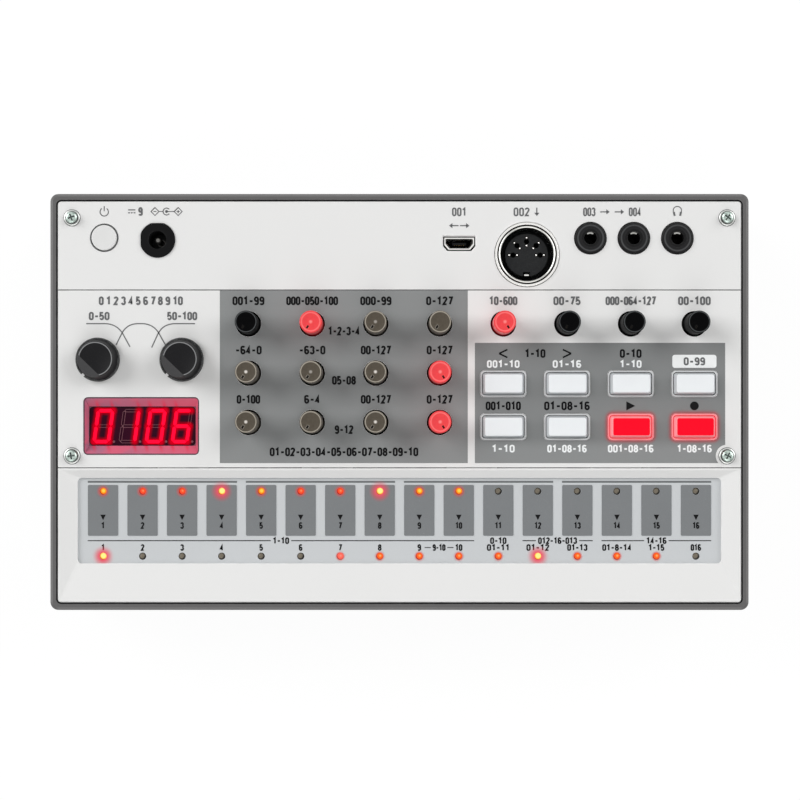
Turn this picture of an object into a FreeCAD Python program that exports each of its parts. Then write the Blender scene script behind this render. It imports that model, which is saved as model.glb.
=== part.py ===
import FreeCAD
import Part
import math
import os

# Desktop sampler: a moulded tub, a white face plate with knobs, keys and sockets, and a touch strip in front.
# The origin is in the middle of the footprint, on the plane that the feet stand on.
# +X is right, +Y is the back with the sockets, +Z is up. All sizes are in millimetres, angles in degrees.

Vector = FreeCAD.Vector
UP = Vector(0, 0, 1)
QUARTER_TURN = math.pi / 2

# Case: outline, walls and the ribs that carry the face plate
case_width = 193.0
case_depth = 115.0
case_height = 34.5
case_corner_radius = 2.2
case_inner_radius = 1.3
case_wall = 1.8
case_floor = 2.0
rim_round = 0.9
underside_bevel = 1.2
rib_thickness = 1.2
rib_reach = 1.6
ribs_along_side = 3
ribs_along_front = 6

# Feet
foot_stand = 1.5
foot_radius = 5.0
foot_from_side = 14.5
foot_from_front = 12.0

# Face plate: the panel behind the seam and the touch bezel before it
panel_gap = 0.35
panel_corner_radius = 0.9
panel_thickness = 2.0
panel_edge_bevel = 0.25
seam_gap = 0.25
touch_zone_depth = 37.15
groove_from_back = 24.45
groove_width = 0.3
groove_depth = 0.3
panel_rib_depth = 1.5
panel_rib_before_groove = 1.2

# Screws that hold the panel to the case
screw_from_side = 3.95
screw_from_back = 4.55
screw_behind_seam = 3.3
screw_washer_radius = 2.2
screw_washer_height = 0.5
screw_head_radius = 1.7
screw_head_height = 1.7
screw_shank_radius = 1.25
screw_shank_length = 9.0
screw_hole_gap = 0.25
screw_slot_width = 0.5
screw_slot_length = 2.0
screw_slot_depth = 0.9
boss_radius = 3.0
boss_bore_depth = 12.0

# Boards
board_thickness = 1.6
board_above_bay = 1.5
board_edge_gap = 2.1
board_front_behind_seam = 1.2
boss_notch_gap = 0.8
post_radius = 2.2
post_root = 0.3
post_pilot_radius = 0.8
post_pilot_depth = 6.0
board_screw_head_radius = 1.8
board_screw_head_height = 1.0
board_screw_play = 0.02
board_screw_end_gap = 0.3
board_hole_gap = 0.2
left_posts_before_first_column = 8.3
back_left_post_from_back = 19.5
back_right_post_from_side = 9.5
back_right_post_from_back = 24.0
front_posts_behind_seam = 4.0

# Knob and key columns: eight columns at one pitch, counted from the left
first_column_from_side = 54.8
last_column_from_side = 15.1
column_count = 8
sound_column_count = 4

# Small knobs, one piece with their shafts
knob_stand = 9.0
knob_radius = 3.05
knob_edge_bevel = 0.3
knob_hole_gap = 0.5
knob_above_lamp = 0.6
knob_play = 0.05
pointer_start = 1.2
pointer_length = 0.9
pointer_width = 0.5
pointer_depth = 0.25
pointer_rest_low = -148.0
pointer_rest_high = 148.0

# Small potentiometers, lit from below, and the gaps behind, between and before their rows
pot_width = 9.6
pot_depth = 10.8
pot_row_gaps = [3.95, 2.8, 2.8, 7.15]
pot_height = 6.4
knob_lamp_width = 2.0
knob_lamp_height = 1.4

# Large knobs and their shafts
large_knob_from_side = 13.4
large_knob_pitch = 23.1
large_knob_gap = 0.8
large_knob_stand = 6.0
skirt_radius = 6.05
skirt_height = 1.2
large_knob_foot_radius = 5.55
large_knob_top_radius = 4.85
large_knob_edge_bevel = 0.4
facet_from_axis = 2.35
facet_slope = 22.0
notch_width = 1.0
notch_depth = 1.15
notch_height = 1.8
large_pointer_rest = -136.0
shaft_radius = 3.0
shaft_hole_gap = 0.6
shaft_seat_gap = 0.02
shaft_play = 0.05
shaft_in_knob = 3.6
shaft_above_board = 1.5
shaft_end_gap = 0.3
large_pot_collar_radius = 4.3
large_pot_collar_below_panel = 1.8

# Display, and the gaps behind and before the large knobs
display_from_side = 25.2
display_behind_seam = 3.55
large_knob_gaps = [13.25, 4.2]
window_width = 32.0
window_depth = 16.0
window_corner_radius = 1.3
window_gap = 0.08
window_lip = 0.3
window_below_face = 0.15
window_ear_reach = 1.2
window_ear_depth = 10.0
window_below_panel = 1.0
module_view_width = 29.6
module_view_depth = 10.9
module_view_wall = 0.6
module_margin = 1.4
digit_count = 4
digit_pitch = 7.25
digit_width = 4.0
digit_height = 8.6
digit_slant = 8.0
segment_width = 0.75
segment_depth = 0.1
point_width = 0.75

# Keys, the frame whose collars stand round them, and the gaps behind, between and before the collars
key_row_gaps = [7.55, 4.7, 7.7]
key_width = 11.4
key_depth = 6.0
key_corner_radius = 0.7
key_top_width = 10.3
key_top_depth = 5.0
key_top_radius = 0.45
key_stand = 2.2
key_travel = 0.8
key_play = 0.2
key_neck_inset = 0.3
key_flange_reach = 0.5
key_flange_thickness = 0.8
key_stem_width = 4.0
collar_wall = 0.4
collar_stand = 0.25
collar_corner_radius = 1.2
collar_hole_gap = 0.1
frame_plate_thickness = 1.2
frame_plate_margin = 0.9

# Power button
power_from_side = 15.0
power_from_back = 12.2
power_radius = 3.5
power_hole_gap = 0.38
power_stand = 0.5
power_edge_bevel = 0.3
power_flange_reach = 1.1
power_stem_width = 3.0

# Push switches under the keys and the power button, drawn pressed in
switch_width = 6.0
switch_height = 3.4
plunger_width = 3.0
plunger_height = 0.8
plunger_gap = 0.1

# Adaptor socket
adaptor_from_side = 29.7
adaptor_from_back = 12.8
adaptor_radius = 4.8
adaptor_flat = 4.3
adaptor_stand = 0.2
adaptor_bore_radius = 2.5
adaptor_bore_depth = 9.5
adaptor_pin_radius = 0.85
adaptor_pin_below = 1.2
adaptor_pin_bevel = 0.35
adaptor_pin_root_radius = 1.1
adaptor_body_width = 10.4
adaptor_body_below_panel = 1.4
adaptor_hole_gap = 0.1

# Jack sockets
jack_first_from_side = 43.8
jack_pitch = 12.0
jack_count = 3
jack_from_back = 12.3
jack_collar_radius = 4.35
jack_collar_stand = 0.5
jack_collar_edge = 0.35
jack_bore_radius = 1.8
jack_bore_floor = 0.4
jack_body_width = 10.6
jack_body_depth = 11.6
jack_body_below_panel = 1.4
jack_hole_gap = 0.2

# Five-pole round socket
din_from_side = 61.3
din_from_back = 16.8
din_shell_radius = 8.25
din_shell_wall = 0.85
din_hole_radius = 9.05
din_stand = 0.3
din_insert_radius = 5.9
din_insert_below = 1.8
din_base_height = 4.0
din_contact_circle = 3.75
din_contact_radius = 0.75
din_contact_depth = 6.0
din_contact_angles = [0.0, 45.0, 90.0, 135.0, 180.0]
din_key_width = 2.0
din_key_depth = 1.2

# Small USB socket: both bottom corners of its outline are cut off
usb_from_side = 80.0
usb_from_back = 13.8
usb_width = 7.6
usb_depth = 2.7
usb_corner_width = 1.1
usb_corner_depth = 1.3
usb_wall = 0.3
usb_flare = 0.3
usb_flare_height = 0.6
usb_below_face = 0.3
usb_slot_gap = 0.35
usb_slot_bevel = 0.3
usb_tongue_width = 3.8
usb_tongue_thickness = 0.6
usb_tongue_below = 1.0

# Touch strip
strip_from_side = 5.25
strip_before_seam = 2.8
strip_depth = 23.7
strip_corner_radius = 1.2
bezel_land = 0.5
bezel_corner_radius = 0.6
bezel_lip_height = 0.7
sheet_overlap = 1.0
sheet_thickness = 0.8
pad_count = 16
pad_from_strip_end = 6.975
pad_width = 8.5
pad_depth = 14.2
pad_before_strip_back = 9.0
pad_rise = 0.1
lamp_hole_radius = 1.0
lamp_width = 1.3
lamp_below_sheet = 0.2
step_lamp_before_strip_back = 3.7
part_lamp_behind_strip_front = 2.0
touch_board_behind = 1.3
touch_post_radius = 2.4
touch_post_from_front = 4.75
touch_post_from_side = 16.5
touch_screw_depth = 1.6
tongue_width = 14.0
tongue_reach = 2.4
tongue_thickness = 1.2
tongue_count = 4
tongue_pitch = 40.0

# Ribbon cable between the boards
ribbon_width = 18.0
ribbon_thickness = 0.4
ribbon_run_on_board = 3.0
ribbon_bend_radius = 2.4

# Battery bay, cells, contacts and door
cell_radius = 7.25
cell_length = 50.5
cell_nub_radius = 2.7
cell_nub_length = 1.0
cell_rows = 3
cells_in_row = 2
cell_pitch = 15.0
cell_gap = 0.25
contact_room = 4.0
contact_thickness = 0.5
contact_width = 11.0
contact_spring_foot = 4.0
contact_spring_tip = 2.5
contact_tab_width = 4.5
tail_width = 3.0
tail_gap = 0.2
bay_wall = 1.2
bay_rib_depth = 3.0
hook_room = 3.5
latch_room = 1.5
door_side_margin = 0.5
door_gap = 0.25
door_corner_radius = 1.2
hook_width = 9.0
hook_reach = 2.8
hook_thickness = 1.2
hook_lift = 0.2
hook_root = 3.0
hook_places = [-34.0, 34.0]
latch_width = 14.0
latch_thickness = 1.2
latch_height = 2.2
latch_from_edge = 1.0
grip_radius = 9.0
grip_depth = 0.8

# Heights that follow from the sizes above
case_under = foot_stand
rim_top = case_under + case_height
floor_top = case_under + case_floor
face_under = rim_top - panel_thickness
sheet_top = face_under
sheet_under = sheet_top - sheet_thickness
touch_board_under = sheet_under - board_thickness
cell_axis_height = floor_top + cell_gap + cell_radius
bay_ceiling_under = cell_axis_height + cell_radius + cell_gap
bay_top = bay_ceiling_under + bay_wall
main_board_under = bay_top + board_above_bay
main_board_top = main_board_under + board_thickness
frame_plate_under = face_under - frame_plate_thickness
switch_top = main_board_top + switch_height + plunger_height
stem_bottom = switch_top + key_travel + plunger_gap
pot_top = main_board_top + pot_height
adaptor_top = rim_top + adaptor_stand
adaptor_bore_floor = adaptor_top - adaptor_bore_depth

# Places in the plan that follow from the sizes above
half_width = case_width / 2
half_depth = case_depth / 2
panel_half_width = half_width - case_wall - panel_gap
panel_half_depth = half_depth - case_wall - panel_gap
seam_y = touch_zone_depth - panel_half_depth
groove_y = panel_half_depth - groove_from_back
screw_x = panel_half_width - screw_from_side
screw_places = [
    (-screw_x, panel_half_depth - screw_from_back),
    (screw_x, panel_half_depth - screw_from_back),
    (-screw_x, seam_y + screw_behind_seam),
    (screw_x, seam_y + screw_behind_seam),
]
foot_x = half_width - foot_from_side
foot_y = half_depth - foot_from_front
foot_places = [(-foot_x, -foot_y), (foot_x, -foot_y), (-foot_x, foot_y), (foot_x, foot_y)]
board_half_width = half_width - case_wall - rib_reach - board_edge_gap
board_back_y = half_depth - case_wall - rib_reach - board_edge_gap
board_front_y = seam_y + board_front_behind_seam
strip_half_width = panel_half_width - strip_from_side
strip_back_y = seam_y - strip_before_seam
strip_front_y = strip_back_y - strip_depth
strip_middle_y = (strip_back_y + strip_front_y) / 2
pad_row_y = strip_back_y - pad_before_strip_back
step_lamp_y = strip_back_y - step_lamp_before_strip_back
part_lamp_y = strip_front_y + part_lamp_behind_strip_front
touch_post_y = touch_post_from_front - panel_half_depth
touch_post_places = [touch_post_from_side - half_width, 0.0, half_width - touch_post_from_side]
display_x = display_from_side - half_width
display_y = seam_y + display_behind_seam + window_depth / 2
large_knob_places = [large_knob_from_side - half_width, large_knob_from_side + large_knob_pitch - half_width]
power_place = (power_from_side - half_width, half_depth - power_from_back)
adaptor_place = (adaptor_from_side - half_width, half_depth - adaptor_from_back)
usb_place = (half_width - usb_from_side, half_depth - usb_from_back)
din_place = (half_width - din_from_side, half_depth - din_from_back)
bay_half_length = cells_in_row * cell_length / 2 + contact_room
door_half_depth = cell_rows * cell_pitch / 2 + door_side_margin
bay_back_y = door_half_depth + hook_room
bay_front_y = -door_half_depth - latch_room


def column_x(column):
    first = first_column_from_side - half_width
    last = half_width - last_column_from_side
    return first + column * (last - first) / (column_count - 1)


def spread(back, front, depth, gaps):
    """The middles of equal pieces set out between two lines; the gaps share the room left over."""
    spare = back - front - (len(gaps) - 1) * depth
    middles = []
    edge = back
    for gap in gaps[:-1]:
        edge -= spare * gap / sum(gaps)
        middles.append(edge - depth / 2)
        edge -= depth
    return middles


def pad_x(index):
    pitch = 2 * (strip_half_width - pad_from_strip_end) / (pad_count - 1)
    return (index - (pad_count - 1) / 2) * pitch


def tongue_x(index):
    return (index - (tongue_count - 1) / 2) * tongue_pitch


def jack_place(index):
    return (half_width - jack_first_from_side + index * jack_pitch, half_depth - jack_from_back)


def cell_row_y(row):
    return (row - (cell_rows - 1) / 2) * cell_pitch


# Rows of knobs and keys, from the back to the front
key_opening_depth = key_depth + 2 * key_play
key_collar_depth = key_opening_depth + 2 * collar_wall
knob_rows = spread(groove_y, seam_y, pot_depth, pot_row_gaps)
key_rows = spread(knob_rows[0] - pot_depth / 2, seam_y, key_collar_depth, key_row_gaps)
large_knob_y = spread(groove_y, display_y + window_depth / 2, 2 * skirt_radius, large_knob_gaps)[0]

# Hollow posts of the face plate that hold the main board
left_posts_x = column_x(0) - left_posts_before_first_column
front_right_post_x = (column_x(column_count - 2) + column_x(column_count - 1)) / 2
board_post_places = [
    (left_posts_x, half_depth - back_left_post_from_back),
    (half_width - back_right_post_from_side, half_depth - back_right_post_from_back),
    (left_posts_x, seam_y + front_posts_behind_seam),
    (front_right_post_x, seam_y + front_posts_behind_seam),
]

# Node names of the small knobs, row by row, and of those that rest at the upper end of their travel
knob_names = [
    ["knob_sample", "knob_start_point", "knob_length", "knob_hi_cut",
     "knob_tempo", "knob_swing", "knob_reverb_mix", "knob_volume"],
    ["knob_speed", "knob_pitch_eg_int", "knob_pitch_attack", "knob_pitch_decay"],
    ["knob_level", "knob_pan", "knob_amp_attack", "knob_amp_decay"],
]
knobs_resting_high = ["knob_pitch_decay", "knob_amp_decay", "knob_tempo"]
small_knobs = []
for knob_y, row_names in zip(knob_rows, knob_names):
    for knob_column, knob_name in enumerate(row_names):
        small_knobs.append((knob_name, column_x(knob_column), knob_y))
key_names = [
    ["button_part_left", "button_part_right", "button_mute", "button_func"],
    ["button_memory", "button_step_mode", "button_play", "button_record"],
]
key_places = []
for key_y in key_rows:
    for key_column in range(sound_column_count, column_count):
        key_places.append((column_x(key_column), key_y))


# Shared shapes

def cylinder(x, y, radius, low, high):
    return Part.makeCylinder(radius, high - low, Vector(x, y, low), UP)


def block(x_low, x_high, y_low, y_high, low, high):
    return Part.makeBox(x_high - x_low, y_high - y_low, high - low, Vector(x_low, y_low, low))


def rounded_outline(x, y, width, depth, radius, height):
    """A closed wire: a rectangle about (x, y) with round corners, lying flat at one height."""
    right = x + width / 2
    left = x - width / 2
    back = y + depth / 2
    front = y - depth / 2
    centres = [
        Vector(right - radius, back - radius, height),
        Vector(left + radius, back - radius, height),
        Vector(left + radius, front + radius, height),
        Vector(right - radius, front + radius, height),
    ]
    arcs = []
    for turn, centre in enumerate(centres):
        circle = Part.Circle(centre, UP, radius)
        arcs.append(Part.Arc(circle, turn * QUARTER_TURN, (turn + 1) * QUARTER_TURN).toShape())
    edges = []
    for index, arc in enumerate(arcs):
        following = arcs[(index + 1) % len(arcs)]
        edges.append(arc)
        arc_end = arc.valueAt(arc.LastParameter)
        next_start = following.valueAt(following.FirstParameter)
        edges.append(Part.LineSegment(arc_end, next_start).toShape())
    return Part.Wire(edges)


def plain_outline(x, y, width, depth, height):
    half_x = width / 2
    half_y = depth / 2
    corners = [
        Vector(x + half_x, y + half_y, height),
        Vector(x - half_x, y + half_y, height),
        Vector(x - half_x, y - half_y, height),
        Vector(x + half_x, y - half_y, height),
    ]
    return Part.makePolygon(corners + corners[:1])


def rounded_block(x, y, width, depth, radius, low, high):
    return Part.Face(rounded_outline(x, y, width, depth, radius, low)).extrude(Vector(0, 0, high - low))


def rounded_taper(x, y, lower, upper):
    """A solid between two rounded rectangles, each given as (width, depth, radius, height)."""
    return Part.makeLoft([rounded_outline(x, y, *lower), rounded_outline(x, y, *upper)], True, True)


def turned(x, y, profile):
    """A solid of revolution about the upright axis at (x, y); the profile is a list of (radius, height)."""
    points = [Vector(x + radius, y, height) for radius, height in profile]
    face = Part.Face(Part.makePolygon(points + points[:1]))
    return face.revolve(Vector(x, y, 0), UP, 360)


def edges_at(shape, height):
    found = []
    for edge in shape.Edges:
        box = edge.BoundBox
        if abs(box.ZMin - height) < 1e-4 and abs(box.ZMax - height) < 1e-4:
            found.append(edge)
    return found


def turned_by_pointer(shape, x, y, pointer):
    """Turns a shape about (x, y); the pointer angle is counted clockwise from the back."""
    copy = shape.copy()
    copy.rotate(Vector(x, y, 0), UP, -pointer)
    return copy


# Casing

def wall_ribs():
    """Upright ribs inside the case walls; the face plate rests on their tops."""
    ribs = []
    half = rib_thickness / 2
    outer_x = half_width - case_wall / 2
    outer_y = half_depth - case_wall / 2
    inner_x = half_width - case_wall - rib_reach
    inner_y = half_depth - case_wall - rib_reach
    for index in range(ribs_along_front):
        x = ((2 * index + 1) / ribs_along_front - 1) * foot_x
        ribs.append(block(x - half, x + half, inner_y, outer_y, floor_top, face_under))
        ribs.append(block(x - half, x + half, -outer_y, -inner_y, floor_top, face_under))
    for index in range(ribs_along_side):
        y = ((2 * index + 1) / ribs_along_side - 1) * foot_y
        ribs.append(block(inner_x, outer_x, y - half, y + half, floor_top, face_under))
        ribs.append(block(-outer_x, -inner_x, y - half, y + half, floor_top, face_under))
    return ribs


def screw_bosses():
    """A round boss under each panel screw, tied to the side wall by a web."""
    bosses = []
    half = rib_thickness / 2
    for x, y in screw_places:
        wall_x = math.copysign(half_width - case_wall / 2, x)
        bosses.append(cylinder(x, y, boss_radius, floor_top, face_under))
        bosses.append(block(min(x, wall_x), max(x, wall_x), y - half, y + half, floor_top, face_under))
    return bosses


def battery_bay():
    """Walls and a ceiling round the cells; ribs between the rows hang from the ceiling."""
    outer_x = bay_half_length + bay_wall
    outer = block(-outer_x, outer_x, bay_front_y - bay_wall, bay_back_y + bay_wall, floor_top, bay_top)
    inner = block(-bay_half_length, bay_half_length, bay_front_y, bay_back_y, floor_top, bay_ceiling_under)
    ribs = []
    length = bay_half_length
    half = rib_thickness / 2
    rib_under = bay_ceiling_under - bay_rib_depth
    for row in range(cell_rows - 1):
        y = (cell_row_y(row) + cell_row_y(row + 1)) / 2
        ribs.append(block(-length, length, y - half, y + half, rib_under, bay_ceiling_under))
    return outer.cut(inner).fuse(ribs)


def contact_tails(gap):
    """The strips that take the two end contacts up through the bay's ceiling to the main board."""
    tails = []
    half_x = contact_thickness / 2 + gap
    half_y = tail_width / 2 + gap
    low = bay_ceiling_under - contact_width / 2
    y = cell_row_y(cell_rows - 1)
    for side in (-1, 1):
        x = side * (bay_half_length - contact_thickness / 2)
        tails.append(block(x - half_x, x + half_x, y - half_y, y + half_y, low, main_board_under))
    return tails


def make_lower_case():
    """A moulded tub: round outside edges, ribs and bosses that carry the face plate, and the battery bay."""
    case = rounded_block(0, 0, case_width, case_depth, case_corner_radius, case_under, rim_top)
    case = case.makeFillet(rim_round, edges_at(case, rim_top))
    case = case.makeChamfer(underside_bevel, edges_at(case, case_under))
    inner_width = case_width - 2 * case_wall
    inner_depth = case_depth - 2 * case_wall
    case = case.cut(rounded_block(0, 0, inner_width, inner_depth, case_inner_radius, floor_top, rim_top + 1))
    case = case.fuse(wall_ribs() + screw_bosses() + [battery_bay()])
    length = bay_half_length
    cuts = [block(-length, length, -door_half_depth, door_half_depth, case_under - 1, floor_top)]
    for x, y in screw_places:
        cuts.append(cylinder(x, y, screw_shank_radius, face_under - boss_bore_depth, face_under + 1))
    cuts += contact_tails(tail_gap)
    return case.cut(cuts).removeSplitter()


def make_battery_door():
    """A plate flush with the underside; it tilts out about its back edge, which two hooks hold up."""
    half_x = bay_half_length - door_gap
    half_y = door_half_depth - door_gap
    door = rounded_block(0, 0, 2 * half_x, 2 * half_y, door_corner_radius, case_under, floor_top)
    added = []
    hook_under = floor_top + hook_lift
    hook_top = hook_under + hook_thickness
    root = half_y - hook_root
    half = hook_width / 2
    for x in hook_places:
        added.append(block(x - half, x + half, root, half_y, floor_top, hook_top))
        added.append(block(x - half, x + half, root, door_half_depth + hook_reach, hook_under, hook_top))
    latch_face = -half_y + latch_from_edge
    latch_back = latch_face + latch_thickness
    half = latch_width / 2
    added.append(block(-half, half, latch_face, latch_back, floor_top, floor_top + latch_height))
    grip = cylinder(0, -half_y, grip_radius, case_under - 1, case_under + grip_depth)
    return door.fuse(added).cut(grip).removeSplitter()


def make_rubber_feet():
    feet = []
    for x, y in foot_places:
        feet.append(cylinder(x, y, foot_radius, 0, foot_stand))
    return feet


def face_plate():
    """The whole face before the seam divides it into the panel and the touch bezel."""
    width = 2 * panel_half_width
    depth = 2 * panel_half_depth
    plate = rounded_block(0, 0, width, depth, panel_corner_radius, face_under, rim_top)
    return plate.makeChamfer(panel_edge_bevel, edges_at(plate, rim_top))


def face_zone(front, back):
    return block(-half_width, half_width, front, back, face_under, rim_top)


def usb_outline(grow, height):
    """The socket's outline, widened by grow on every side: a flat back edge and two slanted front corners."""
    x, y = usb_place
    half_x = usb_width / 2 + grow
    half_y = usb_depth / 2 + grow
    points = [
        (x - half_x, y + half_y),
        (x + half_x, y + half_y),
        (x + half_x, y - half_y + usb_corner_depth),
        (x + half_x - usb_corner_width, y - half_y),
        (x - half_x + usb_corner_width, y - half_y),
        (x - half_x, y - half_y + usb_corner_depth),
    ]
    corners = [Vector(point_x, point_y, height) for point_x, point_y in points]
    return Part.makePolygon(corners + corners[:1])


def usb_prism(grow, low, high):
    return Part.Face(usb_outline(grow, low)).extrude(Vector(0, 0, high - low))


def usb_flared(grow_low, low, grow_high, high):
    return Part.makeLoft([usb_outline(grow_low, low), usb_outline(grow_high, high)], True, True)


def adaptor_collar(gap, low, high):
    """A round collar with one flat at the back and one at the left."""
    x, y = adaptor_place
    reach = adaptor_radius + gap
    flat = adaptor_flat + gap
    collar = cylinder(x, y, reach, low, high)
    return collar.common(block(x - flat, x + reach, y - reach, y + flat, low, high))


def panel_holes():
    low = face_under - 1
    high = rim_top + 1
    holes = []
    for name, x, y in small_knobs:
        holes.append(cylinder(x, y, knob_radius + knob_hole_gap, low, high))
    for x in large_knob_places:
        holes.append(cylinder(x, large_knob_y, shaft_radius + shaft_hole_gap, low, high))
    around = key_play + collar_wall + collar_hole_gap
    radius = collar_corner_radius + collar_hole_gap
    for x, y in key_places:
        holes.append(rounded_block(x, y, key_width + 2 * around, key_depth + 2 * around, radius, low, high))
    for index in range(jack_count):
        x, y = jack_place(index)
        holes.append(cylinder(x, y, jack_collar_radius + jack_hole_gap, low, high))
    for x, y in screw_places:
        holes.append(cylinder(x, y, screw_shank_radius + screw_hole_gap, low, high))
    holes.append(cylinder(*power_place, power_radius + power_hole_gap, low, high))
    holes.append(cylinder(*din_place, din_hole_radius, low, high))
    holes.append(adaptor_collar(adaptor_hole_gap, low, high))
    slot = usb_flare + usb_slot_gap
    holes.append(usb_prism(slot, low, high))
    holes.append(usb_flared(slot, rim_top - usb_slot_bevel, slot + usb_slot_bevel, rim_top))
    window = (window_width, window_depth, window_corner_radius)
    holes.append(rounded_block(display_x, display_y, *window, low, high))
    return holes


def make_top_panel():
    """A plate with a groove across it, a rib along its underside and hollow posts for the main board."""
    panel = face_plate().common(face_zone(seam_y + seam_gap / 2, half_depth))
    added = []
    root_top = face_under + post_root
    for x, y in board_post_places:
        added.append(cylinder(x, y, post_radius, main_board_top, root_top))
    length = board_half_width
    rib_y = groove_y - panel_rib_before_groove
    half = rib_thickness / 2
    added.append(block(-length, length, rib_y - half, rib_y + half, face_under - panel_rib_depth, root_top))
    panel = panel.fuse(added)
    cuts = panel_holes()
    half = groove_width / 2
    groove_floor = rim_top - groove_depth
    cuts.append(block(-half_width, half_width, groove_y - half, groove_y + half, groove_floor, rim_top + 1))
    for x, y in board_post_places:
        cuts.append(cylinder(x, y, post_pilot_radius, main_board_top - 1, main_board_top + post_pilot_depth))
    return panel.cut(cuts).removeSplitter()


def make_touch_bezel():
    """Four faces slope down to the touch strip: short and steep behind it, long and gentle before it."""
    bezel = face_plate().common(face_zone(-half_depth, seam_y - seam_gap / 2))
    back_y = seam_y - seam_gap / 2 - bezel_land
    front_y = -panel_half_depth + bezel_land
    width = 2 * strip_half_width
    upper_width = 2 * (panel_half_width - bezel_land)
    middle_y = (back_y + front_y) / 2
    lip_top = face_under + bezel_lip_height
    upper = (upper_width, back_y - front_y, bezel_corner_radius, rim_top)
    lower = (width, strip_depth, strip_corner_radius, lip_top)
    upper_outline = rounded_outline(0, middle_y, *upper)
    lower_outline = rounded_outline(0, strip_middle_y, *lower)
    tray = Part.makeLoft([lower_outline, upper_outline], True, True)
    opening = Part.Face(rounded_outline(0, strip_middle_y, *lower[:3], face_under))
    opening = opening.extrude(Vector(0, 0, panel_thickness))
    bezel = bezel.cut([tray, opening])
    added = []
    for x in touch_post_places:
        added.append(cylinder(x, touch_post_y, touch_post_radius, sheet_under, face_under + post_root))
    half = tongue_width / 2
    root_y = strip_back_y + touch_board_behind + seam_gap
    for index in range(tongue_count):
        x = tongue_x(index)
        tongue_under = face_under - tongue_thickness
        added.append(block(x - half, x + half, root_y, seam_y + tongue_reach, tongue_under, face_under))
    bezel = bezel.fuse(added)
    pilots = []
    pilot_top = sheet_under + touch_screw_depth
    for x in touch_post_places:
        pilots.append(cylinder(x, touch_post_y, post_pilot_radius, sheet_under - 1, pilot_top))
    return bezel.cut(pilots).removeSplitter()


def make_panel_screws():
    """Washer-head screws with a cross recess."""
    screws = []
    for x, y in screw_places:
        washer_top = rim_top + screw_washer_height
        head_top = rim_top + screw_head_height
        profile = [
            (0, rim_top - screw_shank_length),
            (screw_shank_radius, rim_top - screw_shank_length),
            (screw_shank_radius, rim_top),
            (screw_washer_radius, rim_top),
            (screw_washer_radius, washer_top),
            (screw_head_radius, washer_top),
            (screw_head_radius, head_top),
            (0, head_top),
        ]
        screw = turned(x, y, profile)
        long = screw_slot_length / 2
        short = screw_slot_width / 2
        low = head_top - screw_slot_depth
        cross = block(x - long, x + long, y - short, y + short, low, head_top + 1)
        cross = cross.fuse(block(x - short, x + short, y - long, y + long, low, head_top + 1))
        cross.rotate(Vector(x, y, 0), UP, 20)
        screws.append(screw.cut(cross))
    return screws


# Boards and what stands on them

def make_main_board():
    """The board; it is notched round the screw bosses, and holes take the screws into the panel's posts."""
    width = board_half_width
    board = block(-width, width, board_front_y, board_back_y, main_board_under, main_board_top)
    radius = post_pilot_radius + board_hole_gap
    cuts = []
    for x, y in screw_places:
        cuts.append(cylinder(x, y, boss_radius + boss_notch_gap, main_board_under - 1, main_board_top + 1))
    for x, y in board_post_places:
        cuts.append(cylinder(x, y, radius, main_board_under - 1, main_board_top + 1))
    return board.cut(cuts)


def make_touch_board():
    back = strip_back_y + touch_board_behind
    front = touch_post_y - touch_post_radius
    board = block(-board_half_width, board_half_width, front, back, touch_board_under, sheet_under)
    radius = post_pilot_radius + board_hole_gap
    holes = []
    for x in touch_post_places:
        holes.append(cylinder(x, touch_post_y, radius, touch_board_under - 1, sheet_under + 1))
    return board.cut(holes)


def board_screw(x, y, under, length):
    """A small screw from below: its head bears on the board, its shank ends in a post."""
    head_low = under - board_screw_head_height
    head = cylinder(x, y, board_screw_head_radius, head_low, under)
    shank = cylinder(x, y, post_pilot_radius - board_screw_play, head_low, under + length)
    return head.fuse(shank).removeSplitter()


def make_board_screws():
    screws = []
    main_length = board_thickness + post_pilot_depth - board_screw_end_gap
    touch_length = board_thickness + touch_screw_depth - board_screw_end_gap
    for x, y in board_post_places:
        screws.append(board_screw(x, y, main_board_under, main_length))
    for x in touch_post_places:
        screws.append(board_screw(x, touch_post_y, touch_board_under, touch_length))
    return screws


def make_ribbon_cable():
    """A flat cable: along the main board, up in a quarter turn, and along the touch board in another."""
    half = ribbon_thickness / 2
    low = main_board_top + half
    high = touch_board_under - half
    start_y = board_front_y + ribbon_run_on_board
    rise_y = board_front_y - ribbon_bend_radius - 1
    end_y = rise_y - ribbon_bend_radius - ribbon_run_on_board
    bend = ribbon_bend_radius
    slant = bend * (1 - math.sqrt(0.5))
    x = display_x
    lower_start = Vector(x, rise_y + bend, low)
    lower_middle = Vector(x, rise_y + slant, low + slant)
    lower_end = Vector(x, rise_y, low + bend)
    upper_start = Vector(x, rise_y, high - bend)
    upper_middle = Vector(x, rise_y - slant, high - slant)
    upper_end = Vector(x, rise_y - bend, high)
    path = Part.Wire([
        Part.LineSegment(Vector(x, start_y, low), lower_start).toShape(),
        Part.Arc(lower_start, lower_middle, lower_end).toShape(),
        Part.LineSegment(lower_end, upper_start).toShape(),
        Part.Arc(upper_start, upper_middle, upper_end).toShape(),
        Part.LineSegment(upper_end, Vector(x, end_y, high)).toShape(),
    ])
    side = ribbon_width / 2
    corners = [
        Vector(x - side, start_y, low - half),
        Vector(x + side, start_y, low - half),
        Vector(x + side, start_y, low + half),
        Vector(x - side, start_y, low + half),
    ]
    section = Part.makePolygon(corners + corners[:1])
    return path.makePipeShell([section], True, False)


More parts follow.
